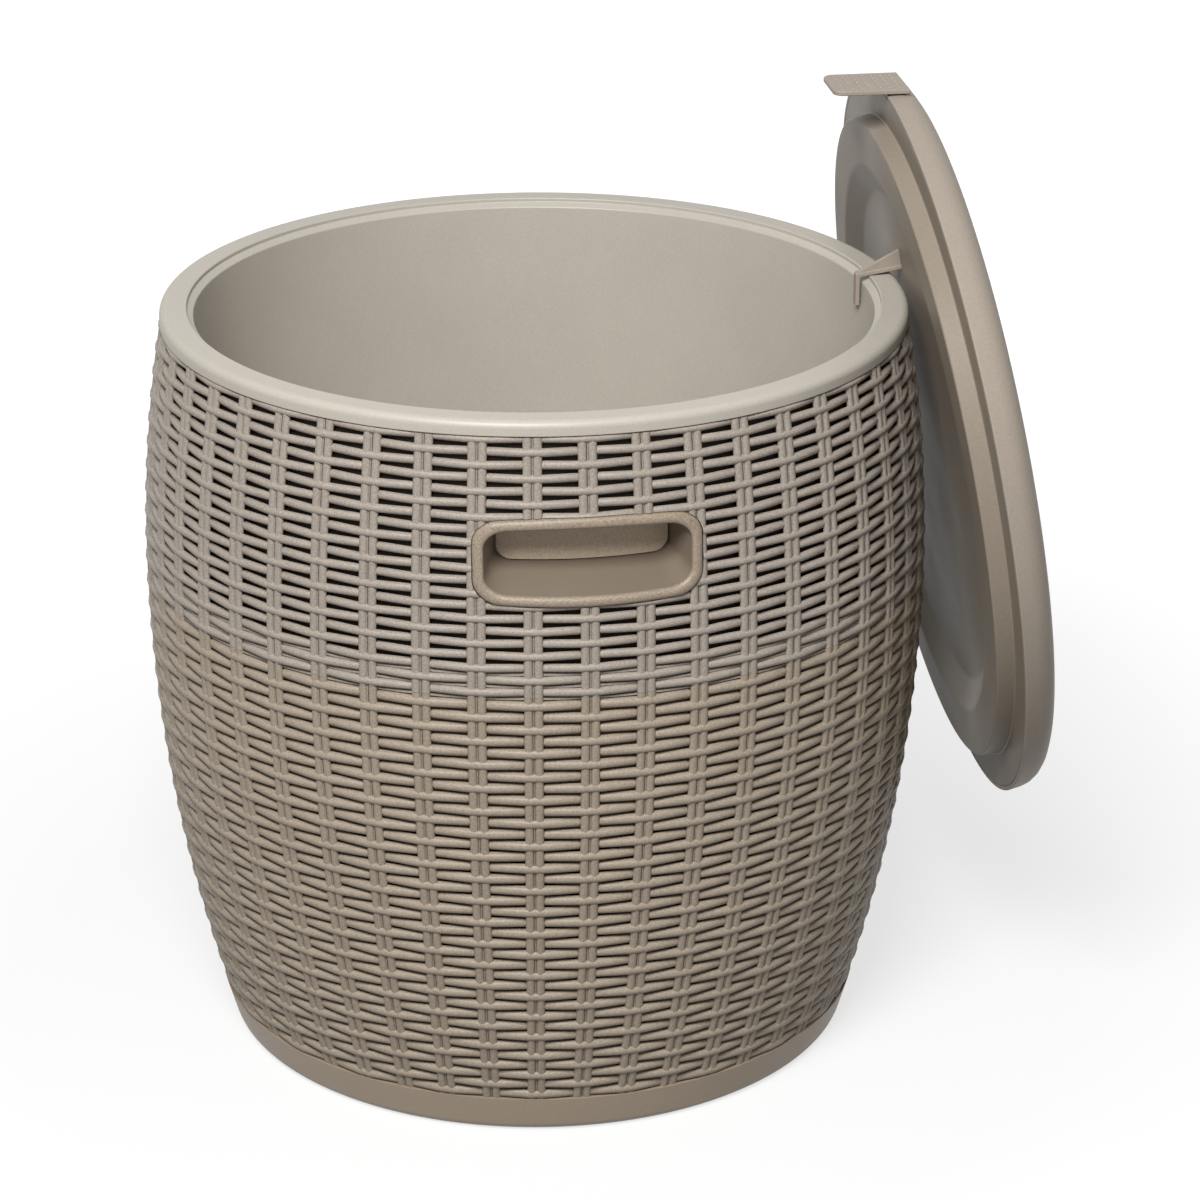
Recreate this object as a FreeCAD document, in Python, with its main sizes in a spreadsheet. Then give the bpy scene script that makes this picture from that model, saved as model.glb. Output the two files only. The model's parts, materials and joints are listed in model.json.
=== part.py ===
import FreeCAD, Part
import math
import os

import Sketcher

# A barrel-shaped ice bucket with a wicker-look wall that doubles as a small table.
# The lid hangs on the rim by its hook, on the +X side, with its underside to the bucket.
# Millimetres. +Z is up, the bucket's axis is Z, and the origin is the middle of the base face.
# The two handle cups face -Y and +Y.

SIZES = (
    ("bucket_height", 411.0, "floor to the crest of the rim"),
    ("rim_radius", 200.0, "outer edge of the rim"),
    ("rim_width", 18.2, "rim with its step, from its outer edge to the mouth"),
    ("rim_band", 8.0, "height of the rim's outer band"),
    ("rim_round", 4.0, "round on the rim's outer edge"),
    ("mouth_round", 1.0, "round on the rim's inner edge"),
    ("step_depth", 2.2, "upright face inside the rim, below the crest"),
    ("step_width", 3.5, "sloping step under that face, down to the mouth"),
    ("step_fall", 2.3, "height of the sloping step"),
    ("belly_swell", 12.6, "belly beyond the rim's outer edge"),
    ("top_swell", 0.6, "weave just under the rim, beyond the rim's outer edge"),
    ("foot_draw", 34.7, "belly radius less the radius on top of the base band"),
    ("upper_shell_height", 134.6, "seam to the top of the woven wall"),
    ("base_band", 22.0, "height of the smooth band at the foot"),
    ("base_band_lean", 6.4, "how far the band draws in towards the floor"),
    ("foot_round", 7.0, "round where the band meets the floor"),
    ("shell_wall", 6.5, "woven wall, crest of the weave to the inner face"),
    ("stake_count", 46, "upright stakes of the weave, all round"),
    ("stake_width", 9.6, "width of a stake, at the belly"),
    ("weave_relief", 2.0, "height of the stakes over the wall between them"),
    ("lip_height", 6.0, "locating lip at the seam between the shells"),
    ("lip_wall", 2.0, "thickness of that lip"),
    ("fit_gap", 0.3, "clearance between fitted mouldings"),
    ("foot_ring", 8.2, "width of the lower shell's ring on the floor, before its round"),
    ("flange_width", 13.0, "lower shell's inner flange, over the base plate"),
    ("flange_wall", 4.0, "thickness of that flange"),
    ("plate_wall", 4.0, "thickness of the base plate"),
    ("liner_wall", 3.0, "wall of the inner bucket"),
    ("liner_taper", 23.8, "mouth radius less the floor radius of the inner bucket"),
    ("floor_level", 78.0, "inner bucket's floor above the ground"),
    ("floor_round", 22.0, "round between the inner bucket's wall and floor"),
    ("post_circle", 110.0, "tie posts from the axis"),
    ("post_radius", 9.0, "tie post on the base plate"),
    ("post_height", 48.0, "top of the tie posts above the floor"),
    ("post_shelf", 4.0, "material over the screw head"),
    ("boss_radius", 6.0, "tie boss under the inner bucket"),
    ("boss_hole_depth", 20.0, "screw hole in the boss"),
    ("screw_radius", 2.5, "tie screw's shank"),
    ("screw_head_radius", 4.8, "tie screw's head"),
    ("screw_head_height", 3.0, "tie screw's head"),
    ("screw_reach", 18.0, "shank above the shelf"),
    ("screw_slot", 1.2, "width of the driver slot"),
    ("screw_play", 0.05, "screw in its boss hole, all round"),
    ("head_play", 0.7, "screw head in its pocket, all round"),
    ("handle_width", 116.0, "handle cup's frame, across"),
    ("handle_height", 46.0, "handle cup's frame, up"),
    ("handle_round", 13.0, "corners of the frame"),
    ("handle_rise", 71.2, "middle of the handle above the seam"),
    ("grip_width", 104.5, "handle opening, across"),
    ("grip_height", 35.0, "handle opening, up"),
    ("grip_round", 11.0, "corners of the opening"),
    ("grip_back_width", 86.0, "back wall of the recess"),
    ("grip_floor_rise", 10.5, "rise of the recess floor to its back"),
    ("grip_ceiling_drop", 2.0, "fall of the recess ceiling to its back"),
    ("grip_back_round", 8.0, "corners of the back wall"),
    ("frame_proud", 0.8, "frame beyond the crest of the weave"),
    ("cup_wall", 2.5, "back wall of the cup"),
    ("cup_flange", 8.0, "width of the cup's flange inside the shell"),
    ("cup_flange_wall", 2.5, "thickness of that flange"),
    ("cup_play", 1.6, "back of the cup to the inner bucket"),
    ("lid_overhang", 1.3, "lower edge of the lid's skirt, beyond the rim's outer edge"),
    ("lid_height", 18.7, "skirt edge to the table top"),
    ("lid_round", 13.0, "round on the table top's edge"),
    ("lid_draft", 2.0, "how far the skirt draws in to the top"),
    ("lid_wall", 2.5, "walls of the lid"),
    ("pan_seat", 1.5, "step in the skirt that the pan's edge is bonded to"),
    ("plug_play", 1.8, "lid's plug in the mouth, all round"),
    ("plug_depth", 10.0, "plug below the skirt edge"),
    ("plug_draft", 1.0, "how far the plug draws in to its tip"),
    ("plug_round", 2.0, "round on the plug's edge"),
    ("plug_band", 25.4, "flat band on the plug's tip"),
    ("dish_slope", 16.6, "width of the slope down into the dish"),
    ("dish_level", 3.0, "middle panel below the skirt edge"),
    ("dish_round", 8.0, "rounds on the slope"),
    ("lid_lean", 9.22, "degrees that the hung lid leans in at its top"),
    ("lid_shift", 13.0, "how far along the rim the lid hangs from +X"),
    ("hook_rise", 99.1, "underside of the hook's arm, from the lid's middle"),
    ("hook_reach", 23.3, "panel to the face of the hook's leg"),
    ("hook_wall", 2.4, "thickness of the hook's arm and leg"),
    ("hook_drop", 16.0, "length of the hook's leg below the arm"),
    ("hook_width", 6.0, "width of the arm and the leg"),
    ("hook_round", 1.4, "round on the hook's corner"),
    ("hook_rib_height", 8.5, "rib on the hook's arm, at the panel"),
    ("hook_rib_wall", 2.4, "thickness of that rib"),
    ("hook_foot_edge", 5.0, "hook's foot beyond its arm, inside the lid"),
    ("hook_foot_wall", 2.5, "thickness of that foot"),
    ("tab_width", 36.0, "grip tab, along the lid's edge"),
    ("tab_reach", 36.3, "grip tab, from its tongue to its free edge"),
    ("tab_heel", 4.8, "grip tab, from its tongue back over the lid's round"),
    ("tab_wall", 2.6, "thickness of the grip tab"),
    ("tab_round", 6.0, "free corners of the grip tab"),
    ("tab_seat", 7.4, "grip tab's tongue above the skirt edge"),
    ("tongue_wall", 3.0, "thickness of the tongue"),
    ("tongue_width", 26.0, "width of the tongue"),
    ("tongue_reach", 6.2, "tongue below the plate, beyond the skirt's wall"),
    ("barb_reach", 2.5, "barb beyond the tongue"),
    ("barb_wall", 1.8, "thickness of the barb"),
)


class Size:
    """A size held as a number and as the sheet formula that gives it."""

    def __init__(self, value, formula):
        self.value = value
        self.formula = formula

    def __add__(self, other):
        other = as_size(other)
        return Size(self.value + other.value, f"({self.formula} + {other.formula})")

    def __sub__(self, other):
        other = as_size(other)
        return Size(self.value - other.value, f"({self.formula} - {other.formula})")

    def __mul__(self, other):
        other = as_size(other)
        return Size(self.value * other.value, f"({self.formula} * {other.formula})")

    def __truediv__(self, other):
        other = as_size(other)
        return Size(self.value / other.value, f"({self.formula} / {other.formula})")

    def __neg__(self):
        return Size(-self.value, f"(-1 * {self.formula})")


def as_size(thing):
    """Give a plain number the form of a Size."""
    return thing if isinstance(thing, Size) else Size(float(thing), repr(float(thing)))


def root(size):
    """Square root of a Size."""
    return Size(math.sqrt(size.value), f"sqrt({size.formula})")


def square(size):
    """A Size times itself."""
    return size * size


def sine(angle):
    """Sine of a Size in degrees."""
    return Size(math.sin(math.radians(angle.value)), f"sin({angle.formula} * 1 deg)")


def cosine(angle):
    """Cosine of a Size in degrees."""
    return Size(math.cos(math.radians(angle.value)), f"cos({angle.formula} * 1 deg)")


class Sheet:
    """The spreadsheet of driving sizes, read by name."""

    def __init__(self, doc):
        self.cells = doc.addObject("Spreadsheet::Sheet", "Sizes")
        for row, (name, value, note) in enumerate(SIZES, start=1):
            self.cells.set(f"A{row}", name)
            self.cells.set(f"B{row}", str(value))
            self.cells.set(f"C{row}", note)
            self.cells.setAlias(f"B{row}", name)
        doc.recompute()

    def __getattr__(self, name):
        return Size(float(self.cells.get(name)), f"Sizes.{name}")


class Corner:
    """A corner of an outline, with its own round, or a bend in the edge that leaves it.

    The bend is the height of the arc's centre.
    """

    def __init__(self, x, y, rounded=None, bend=None):
        self.x = as_size(x)
        self.y = as_size(y)
        self.rounded = rounded
        self.bend = bend

    def point(self):
        return FreeCAD.Vector(self.x.value, self.y.value, 0)


def bind_distance(sketch, kind, axis, geometry, position, size):
    """Hold one coordinate of a sketch point at a Size, measured from the origin."""
    if abs(size.value) < 1e-9:
        sketch.addConstraint(Sketcher.Constraint("PointOnObject", geometry, position, axis))
        return
    if size.value > 0:
        rule = Sketcher.Constraint(kind, -1, 1, geometry, position, size.value)
    else:
        size = -size
        rule = Sketcher.Constraint(kind, geometry, position, -1, 1, size.value)
    index = sketch.addConstraint(rule)
    sketch.setExpression(f"Constraints[{index}]", size.formula)


def bind_point(sketch, geometry, position, corner):
    """Hold a sketch point at a corner."""
    bind_distance(sketch, "DistanceX", -2, geometry, position, corner.x)
    bind_distance(sketch, "DistanceY", -1, geometry, position, corner.y)


def round_points(before, corner, after):
    """Tangent points and centre of a corner's round."""
    here = corner.point()
    back = (before.point() - here).normalize()
    ahead = (after.point() - here).normalize()
    half_turn = back.getAngle(ahead) / 2
    length = corner.rounded.value / math.tan(half_turn)
    middle = (back + ahead).normalize()
    centre = here + middle * (corner.rounded.value / math.sin(half_turn))
    return here + back * length, here + ahead * length, centre


def bend_centre(start, end, height):
    """Centre, at a given height, of the arc through two points."""
    difference = start.x ** 2 - end.x ** 2 + (start.y - height) ** 2 - (end.y - height) ** 2
    return FreeCAD.Vector(difference / (2 * (start.x - end.x)), height, 0)


def add_arc(sketch, start, end, centre):
    """Add the short arc between two points; give its index and the positions of its two ends."""
    first = math.atan2(start.y - centre.y, start.x - centre.x)
    last = math.atan2(end.y - centre.y, end.x - centre.x)
    circle = Part.Circle(centre, FreeCAD.Vector(0, 0, 1), (start - centre).Length)
    if (last - first) % (2 * math.pi) < math.pi:
        return sketch.addGeometry(Part.ArcOfCircle(circle, first, last), False), 1, 2
    return sketch.addGeometry(Part.ArcOfCircle(circle, last, first), False), 2, 1


def add_edge(sketch, start, end, corner):
    """Add the edge that leaves a corner."""
    if corner.bend is None:
        return sketch.addGeometry(Part.LineSegment(start, end), False), 1, 2
    return add_arc(sketch, start, end, bend_centre(start, end, corner.bend.value))


def draw_outline(sketch, corners):
    """Draw a closed outline through the corners and bind it to the sheet."""
    count = len(corners)
    stops, starts, centres = [], [], []
    for number, corner in enumerate(corners):
        if corner.rounded is None:
            stop, start, centre = corner.point(), corner.point(), None
        else:
            stop, start, centre = round_points(corners[number - 1], corner, corners[(number + 1) % count])
        stops.append(stop)
        starts.append(start)
        centres.append(centre)
    edges = [
        add_edge(sketch, starts[number], stops[(number + 1) % count], corner)
        for number, corner in enumerate(corners)
    ]
    for number, corner in enumerate(corners):
        last_edge, _, last_end = edges[number - 1]
        next_edge, next_start, _ = edges[number]
        if corner.rounded is None:
            rule = Sketcher.Constraint("Coincident", last_edge, last_end, next_edge, next_start)
            sketch.addConstraint(rule)
            bind_point(sketch, next_edge, next_start, corner)
        else:
            arc, arc_start, arc_end = add_arc(sketch, stops[number], starts[number], centres[number])
            sketch.addConstraint(Sketcher.Constraint("Tangent", last_edge, last_end, arc, arc_start))
            sketch.addConstraint(Sketcher.Constraint("Tangent", arc, arc_end, next_edge, next_start))
            index = sketch.addConstraint(Sketcher.Constraint("Radius", arc, corner.rounded.value))
            sketch.setExpression(f"Constraints[{index}]", corner.rounded.formula)
            apex = sketch.addGeometry(Part.Point(corner.point()), True)
            bind_point(sketch, apex, 1, corner)
            sketch.addConstraint(Sketcher.Constraint("PointOnObject", apex, 1, last_edge))
            sketch.addConstraint(Sketcher.Constraint("PointOnObject", apex, 1, next_edge))
        if corner.bend is not None:
            bind_distance(sketch, "DistanceY", -1, next_edge, 3, corner.bend)


def draw_circle(sketch, x, y, radius):
    """Draw a circle and bind it to the sheet."""
    centre = FreeCAD.Vector(x.value, y.value, 0)
    circle = sketch.addGeometry(Part.Circle(centre, FreeCAD.Vector(0, 0, 1), radius.value), False)
    bind_point(sketch, circle, 3, Corner(x, y))
    index = sketch.addConstraint(Sketcher.Constraint("Radius", circle, radius.value))
    sketch.setExpression(f"Constraints[{index}]", radius.formula)


def rectangle(left, right, low, high, rounded=None):
    """Corners of an upright rectangle."""
    return [
        Corner(left, low, rounded),
        Corner(right, low, rounded),
        Corner(right, high, rounded),
        Corner(left, high, rounded),
    ]


def new_body(doc, name):
    """Add an empty body under its node's name."""
    body = doc.addObject("PartDesign::Body", name)
    body.Label = name
    return body


def new_sketch(body, role, offset=None):
    """Add a sketch on one of the body's origin planes, moved along its normal by an offset."""
    sketch = body.newObject("Sketcher::SketchObject", f"{body.Name}_sketch")
    plane = next(item for item in body.Origin.OriginFeatures if item.Role == role)
    sketch.AttachmentSupport = [(plane, "")]
    sketch.MapMode = "FlatFace"
    if offset is not None:
        sketch.AttachmentOffset = FreeCAD.Placement(FreeCAD.Vector(0, 0, offset.value), FreeCAD.Rotation())
        sketch.setExpression("AttachmentOffset.Base.z", offset.formula)
    return sketch


def finish_feature(body, feature):
    """Make a feature the tip of its body."""
    body.Tip = feature
    body.Document.recompute()
    return feature


def turn(body, kind, corners):
    """Revolve an outline about the axis, to add or to cut, as the kind says."""
    sketch = new_sketch(body, "XZ_Plane")
    draw_outline(sketch, corners)
    body.Document.recompute()
    feature = body.newObject(f"PartDesign::{kind}", f"{body.Name}_{kind}")
    feature.Profile = sketch
    feature.ReferenceAxis = (sketch, ["V_Axis"])
    feature.Angle = 360
    return finish_feature(body, feature)


def pad(body, sketch, length, both_ways=False, backwards=False):
    """Add material over a sketch."""
    body.Document.recompute()
    feature = body.newObject("PartDesign::Pad", f"{body.Name}_pad")
    feature.Profile = sketch
    feature.Length = length.value
    feature.setExpression("Length", length.formula)
    feature.Midplane = both_ways
    feature.Reversed = backwards
    return finish_feature(body, feature)


def pocket(body, sketch, length=None, both_ways=False, backwards=False):
    """Cut through a sketch, right through the body where no length is given."""
    body.Document.recompute()
    before = body.Shape.Volume
    feature = body.newObject("PartDesign::Pocket", f"{body.Name}_pocket")
    feature.Profile = sketch
    if length is None:
        feature.Type = "ThroughAll"
    else:
        feature.Length = length.value
        feature.setExpression("Length", length.formula)
    feature.Midplane = both_ways
    feature.Reversed = backwards
    finish_feature(body, feature)
    if body.Shape.Volume >= before:
        raise RuntimeError(f"a pocket in {body.Label} cuts nothing")
    return feature


def place(thing, x, y, z):
    """Bind an object's position to the sheet."""
    for letter, size in zip("xyz", (as_size(x), as_size(y), as_size(z))):
        thing.setExpression(f"Placement.Base.{letter}", size.formula)


# Levels, radii and curves that several pieces share

class Shape:
    """Sizes worked out from the sheet that more than one piece is built on."""

    def __init__(self, mm):
        self.mm = mm
        self.skirt_level = mm.bucket_height - mm.rim_band
        self.ceiling = mm.bucket_height - mm.liner_wall
        self.shell_top = self.skirt_level - mm.fit_gap
        self.seam = self.shell_top - mm.upper_shell_height
        self.belly = mm.rim_radius + mm.belly_swell
        self.top_radius = mm.rim_radius + mm.top_swell
        self.foot_radius = self.belly - mm.foot_draw
        self.mouth = mm.rim_radius - mm.rim_width
        self.mouth_level = mm.bucket_height - mm.step_depth - mm.step_fall
        self.rim_inside = self.mouth + mm.step_width
        self.floor_radius = self.mouth - mm.liner_taper
        top_draw = self.belly - self.top_radius
        self.upper_bend = (square(mm.upper_shell_height) + square(top_draw)) / (top_draw * 2)
        foot_rise = self.seam - mm.base_band
        self.lower_bend = (square(foot_rise) + square(mm.foot_draw)) / (mm.foot_draw * 2)
        self.handle_level = self.seam + mm.handle_rise
        self.plug_radius = self.mouth - mm.plug_play
        self.lid_radius = mm.rim_radius + mm.lid_overhang

    def upper_radius(self, level, beyond):
        """Radius of the upper wall's curve at a level, a distance beyond the crest of the weave."""
        reach = root(square(self.upper_bend + beyond) - square(level - self.seam))
        return self.belly - self.upper_bend + reach

    def lower_radius(self, level, beyond):
        """The same for the lower wall."""
        reach = root(square(self.lower_bend + beyond) - square(self.seam - level))
        return self.belly - self.lower_bend + reach

    def liner_outside(self, level):
        """Outer radius of the inner bucket at a level."""
        mm = self.mm
        bottom = mm.floor_level - mm.liner_wall
        share = (level - bottom) / (self.ceiling - bottom)
        return self.floor_radius + mm.liner_wall + mm.liner_taper * share

    def liner_inside(self, level):
        """Inner radius of the inner bucket's drafted wall at a level."""
        mm = self.mm
        share = (level - mm.floor_level) / (self.mouth_level - mm.floor_level)
        return self.floor_radius + mm.liner_taper * share


def four_ways(distance):
    """Centres of the four tie posts."""
    nothing = as_size(0)
    return ((distance, nothing), (nothing, distance), (-distance, nothing), (nothing, -distance))


def add_stakes(body, mm, form, radius, level):
    """Add the upright stakes of the weave, from the seam to the level where their crest has a radius."""
    sketch = new_sketch(body, "YZ_Plane")
    rooted = mm.weave_relief * 1.5
    draw_outline(sketch, [
        Corner(form.belly, form.seam, bend=form.seam),
        Corner(radius, level),
        Corner(radius - rooted, level, bend=form.seam),
        Corner(form.belly - rooted, form.seam),
    ])
    body.Document.recompute()
    stake = body.newObject("PartDesign::Revolution", f"{body.Name}_stake")
    stake.Profile = sketch
    stake.ReferenceAxis = (sketch, ["V_Axis"])
    stake.setExpression("Angle", f"{(mm.stake_width / form.belly).formula} * 1 rad")
    stake.Midplane = True
    finish_feature(body, stake)
    ring = body.newObject("PartDesign::PolarPattern", f"{body.Name}_stakes")
    ring.Originals = [stake]
    ring.Axis = (sketch, ["V_Axis"])
    ring.Angle = 360
    ring.Occurrences = round(mm.stake_count.value)
    ring.setExpression("Occurrences", mm.stake_count.formula)
    finish_feature(body, ring)


def make_lower_shell(doc, mm, form):
    """Lower half of the woven wall, with the smooth base band and the flange over the base plate."""
    body = new_body(doc, "lower_shell")
    inner_seam = form.belly - mm.shell_wall
    lip_face = inner_seam + mm.lip_wall
    foot_edge = form.foot_radius - mm.base_band_lean
    ring_inside = foot_edge - mm.foot_ring
    flange_top = mm.plate_wall + mm.flange_wall
    turn(body, "Revolution", [
        Corner(ring_inside - mm.flange_width, mm.plate_wall),
        Corner(ring_inside, mm.plate_wall),
        Corner(ring_inside, 0),
        Corner(foot_edge, 0, rounded=mm.foot_round),
        Corner(form.foot_radius, mm.base_band),
        Corner(form.foot_radius - mm.weave_relief, mm.base_band, bend=form.seam),
        Corner(form.belly - mm.weave_relief, form.seam),
        Corner(lip_face, form.seam),
        Corner(lip_face, form.seam + mm.lip_height),
        Corner(inner_seam, form.seam + mm.lip_height),
        Corner(inner_seam, form.seam, bend=form.seam),
        Corner(form.lower_radius(mm.base_band, -mm.shell_wall), mm.base_band),
        Corner(foot_edge - mm.shell_wall + mm.flange_wall / 2, flange_top),
        Corner(ring_inside - mm.flange_width, flange_top),
    ])
    add_stakes(body, mm, form, form.foot_radius, mm.base_band)
    return body


def make_upper_shell(doc, mm, form):
    """Upper half of the woven wall, with its tongue under the rim and the two handle cut-outs."""
    body = new_body(doc, "upper_shell")
    rebate_face = form.belly - mm.shell_wall + mm.lip_wall + mm.fit_gap
    rebate_top = form.seam + mm.lip_height + mm.fit_gap
    tongue_outside = mm.rim_radius - mm.liner_wall - mm.fit_gap
    tongue_inside = form.upper_radius(form.shell_top, -mm.shell_wall)
    turn(body, "Revolution", [
        Corner(form.belly - mm.weave_relief, form.seam, bend=form.seam),
        Corner(form.top_radius - mm.weave_relief, form.shell_top),
        Corner(tongue_outside, form.shell_top),
        Corner(tongue_outside, form.ceiling),
        Corner(tongue_inside, form.ceiling),
        Corner(tongue_inside, form.shell_top, bend=form.seam),
        Corner(form.upper_radius(rebate_top, -mm.shell_wall), rebate_top),
        Corner(rebate_face, rebate_top),
        Corner(rebate_face, form.seam),
    ])
    add_stakes(body, mm, form, form.top_radius, form.shell_top)
    half_width = mm.handle_width / 2 + mm.fit_gap
    half_height = mm.handle_height / 2 + mm.fit_gap
    cut_outs = new_sketch(body, "XZ_Plane")
    draw_outline(cut_outs, rectangle(
        -half_width, half_width, form.handle_level - half_height, form.handle_level + half_height,
        mm.handle_round + mm.fit_gap))
    pocket(body, cut_outs, both_ways=True)
    return body


def make_base_plate(doc, mm, form):
    """Flat plate that closes the bottom, with four hollow posts for the tie screws."""
    body = new_body(doc, "base_plate")
    radius = form.foot_radius - mm.base_band_lean - mm.foot_ring - mm.fit_gap
    turn(body, "Revolution", [
        Corner(0, 0),
        Corner(radius, 0),
        Corner(radius, mm.plate_wall),
        Corner(0, mm.plate_wall),
    ])
    posts = new_sketch(body, "XY_Plane")
    for x, y in four_ways(mm.post_circle):
        draw_circle(posts, x, y, mm.post_radius)
    pad(body, posts, mm.post_height)
    head_pockets = new_sketch(body, "XY_Plane")
    for x, y in four_ways(mm.post_circle):
        draw_circle(head_pockets, x, y, mm.screw_head_radius + mm.head_play)
    pocket(body, head_pockets, mm.post_height - mm.post_shelf, backwards=True)
    holes = new_sketch(body, "XY_Plane")
    for x, y in four_ways(mm.post_circle):
        draw_circle(holes, x, y, mm.screw_radius + mm.fit_gap)
    pocket(body, holes, backwards=True)
    return body


def make_inner_bucket(doc, mm, form):
    """Inner bucket with its rolled rim over the wall's top edge, and the bosses for the tie screws."""
    body = new_body(doc, "inner_bucket")
    underside = mm.floor_level - mm.liner_wall
    turn(body, "Revolution", [
        Corner(0, underside),
        Corner(form.floor_radius + mm.liner_wall, underside, rounded=mm.floor_round + mm.liner_wall),
        Corner(form.liner_outside(form.skirt_level), form.skirt_level),
        Corner(form.rim_inside + mm.liner_wall, form.ceiling),
        Corner(mm.rim_radius - mm.liner_wall, form.ceiling),
        Corner(mm.rim_radius - mm.liner_wall, form.skirt_level),
        Corner(mm.rim_radius, form.skirt_level),
        Corner(mm.rim_radius, mm.bucket_height, rounded=mm.rim_round),
        Corner(form.rim_inside, mm.bucket_height, rounded=mm.mouth_round),
        Corner(form.rim_inside, mm.bucket_height - mm.step_depth),
        Corner(form.mouth, form.mouth_level),
        Corner(form.floor_radius, mm.floor_level, rounded=mm.floor_round),
        Corner(0, mm.floor_level),
    ])
    bosses = new_sketch(body, "XY_Plane", mm.post_height)
    for x, y in four_ways(mm.post_circle):
        draw_circle(bosses, x, y, mm.boss_radius)
    pad(body, bosses, mm.floor_level - mm.liner_wall / 2 - mm.post_height)
    holes = new_sketch(body, "XY_Plane", mm.post_height)
    for x, y in four_ways(mm.post_circle):
        draw_circle(holes, x, y, mm.screw_radius + mm.screw_play)
    pocket(body, holes, mm.boss_hole_depth, backwards=True)
    return body


def make_tie_screws(doc, mm):
    """Four screws that clamp the base plate, the shells and the inner bucket together."""
    shelf = mm.post_height - mm.post_shelf
    screws = []
    for number, (x, y) in enumerate(four_ways(mm.post_circle), start=1):
        head = doc.addObject("Part::Cylinder", f"screw_head_{number}")
        head.setExpression("Radius", mm.screw_head_radius.formula)
        head.setExpression("Height", mm.screw_head_height.formula)
        place(head, x, y, shelf - mm.screw_head_height)
        shank = doc.addObject("Part::Cylinder", f"screw_shank_{number}")
        shank.setExpression("Radius", mm.screw_radius.formula)
        shank.setExpression("Height", (mm.post_shelf + mm.screw_reach).formula)
        place(shank, x, y, shelf)
        slot = doc.addObject("Part::Box", f"screw_slot_{number}")
        slot.setExpression("Length", (mm.screw_head_radius * 2).formula)
        slot.setExpression("Width", mm.screw_slot.formula)
        slot.setExpression("Height", (mm.screw_head_height / 2).formula)
        place(slot, x - mm.screw_head_radius, y - mm.screw_slot / 2, shelf - mm.screw_head_height)
        blank = doc.addObject("Part::MultiFuse", f"screw_blank_{number}")
        blank.Shapes = [head, shank]
        screw = doc.addObject("Part::Cut", f"screw_{number}")
        screw.Base = blank
        screw.Tool = slot
        screws.append(screw)
    group = doc.addObject("Part::Compound", "tie_screws")
    group.Label = "tie_screws"
    group.Links = screws
    return group


def make_handle_cup(doc, mm, form, name, facing):
    """Finger cup, put in from inside: a frame in the cut-out, a flange behind it and a recess."""
    body = new_body(doc, name)
    middle = form.handle_level
    recess_top = middle + mm.grip_height / 2
    back_face = form.liner_outside(recess_top) + mm.cup_play
    outermost = form.belly + mm.frame_proud + mm.fit_gap
    length = outermost - back_face

    def outside(beyond):
        edge = [
            Corner(form.belly + beyond, form.seam, bend=form.seam),
            Corner(form.upper_radius(form.shell_top, beyond), form.shell_top),
            Corner(form.belly + mm.shell_wall * 4, form.shell_top),
            Corner(form.belly + mm.shell_wall * 4, form.seam),
        ]
        turn(body, "Groove", edge)

    flange_face = -mm.shell_wall - mm.fit_gap
    flange_back = flange_face - mm.cup_flange_wall
    half_width = mm.handle_width / 2
    half_height = mm.handle_height / 2
    flange = new_sketch(body, "XZ_Plane", back_face)
    draw_outline(flange, rectangle(
        -half_width - mm.cup_flange, half_width + mm.cup_flange,
        middle - half_height - mm.cup_flange, middle + half_height + mm.cup_flange,
        mm.handle_round + mm.cup_flange))
    pad(body, flange, length)
    outside(flange_face)
    turn(body, "Groove", [
        Corner(0, form.seam),
        Corner(form.belly + flange_back, form.seam, bend=form.seam),
        Corner(form.upper_radius(form.shell_top, flange_back), form.shell_top),
        Corner(0, form.shell_top),
    ])
    frame = new_sketch(body, "XZ_Plane", back_face)
    draw_outline(frame, rectangle(
        -half_width, half_width, middle - half_height, middle + half_height, mm.handle_round))
    pad(body, frame, length)
    outside(mm.frame_proud)

    crest = form.upper_radius(middle, mm.frame_proud)
    recess_back = back_face + mm.cup_wall
    stretch = (outermost - crest) / (crest - recess_back)
    front_half = mm.grip_width / 2
    back_half = mm.grip_back_width / 2
    low = middle - mm.grip_height / 2
    mouth = new_sketch(body, "XZ_Plane", outermost)
    mouth_half = front_half + (front_half - back_half) * stretch
    draw_outline(mouth, rectangle(
        -mouth_half, mouth_half, low - mm.grip_floor_rise * stretch,
        recess_top + mm.grip_ceiling_drop * stretch, mm.grip_round))
    back = new_sketch(body, "XZ_Plane", recess_back)
    draw_outline(back, rectangle(
        -back_half, back_half, low + mm.grip_floor_rise,
        recess_top - mm.grip_ceiling_drop, mm.grip_back_round))
    doc.recompute()
    before = body.Shape.Volume
    recess = body.newObject("PartDesign::SubtractiveLoft", f"{name}_recess")
    recess.Profile = mouth
    recess.Sections = [back]
    recess.Ruled = True
    finish_feature(body, recess)
    if body.Shape.Volume >= before:
        raise RuntimeError(f"the recess in {name} cuts nothing")
    body.Placement = FreeCAD.Placement(
        FreeCAD.Vector(0, 0, 0), FreeCAD.Rotation(FreeCAD.Vector(0, 0, 1), facing))
    return body


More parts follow.
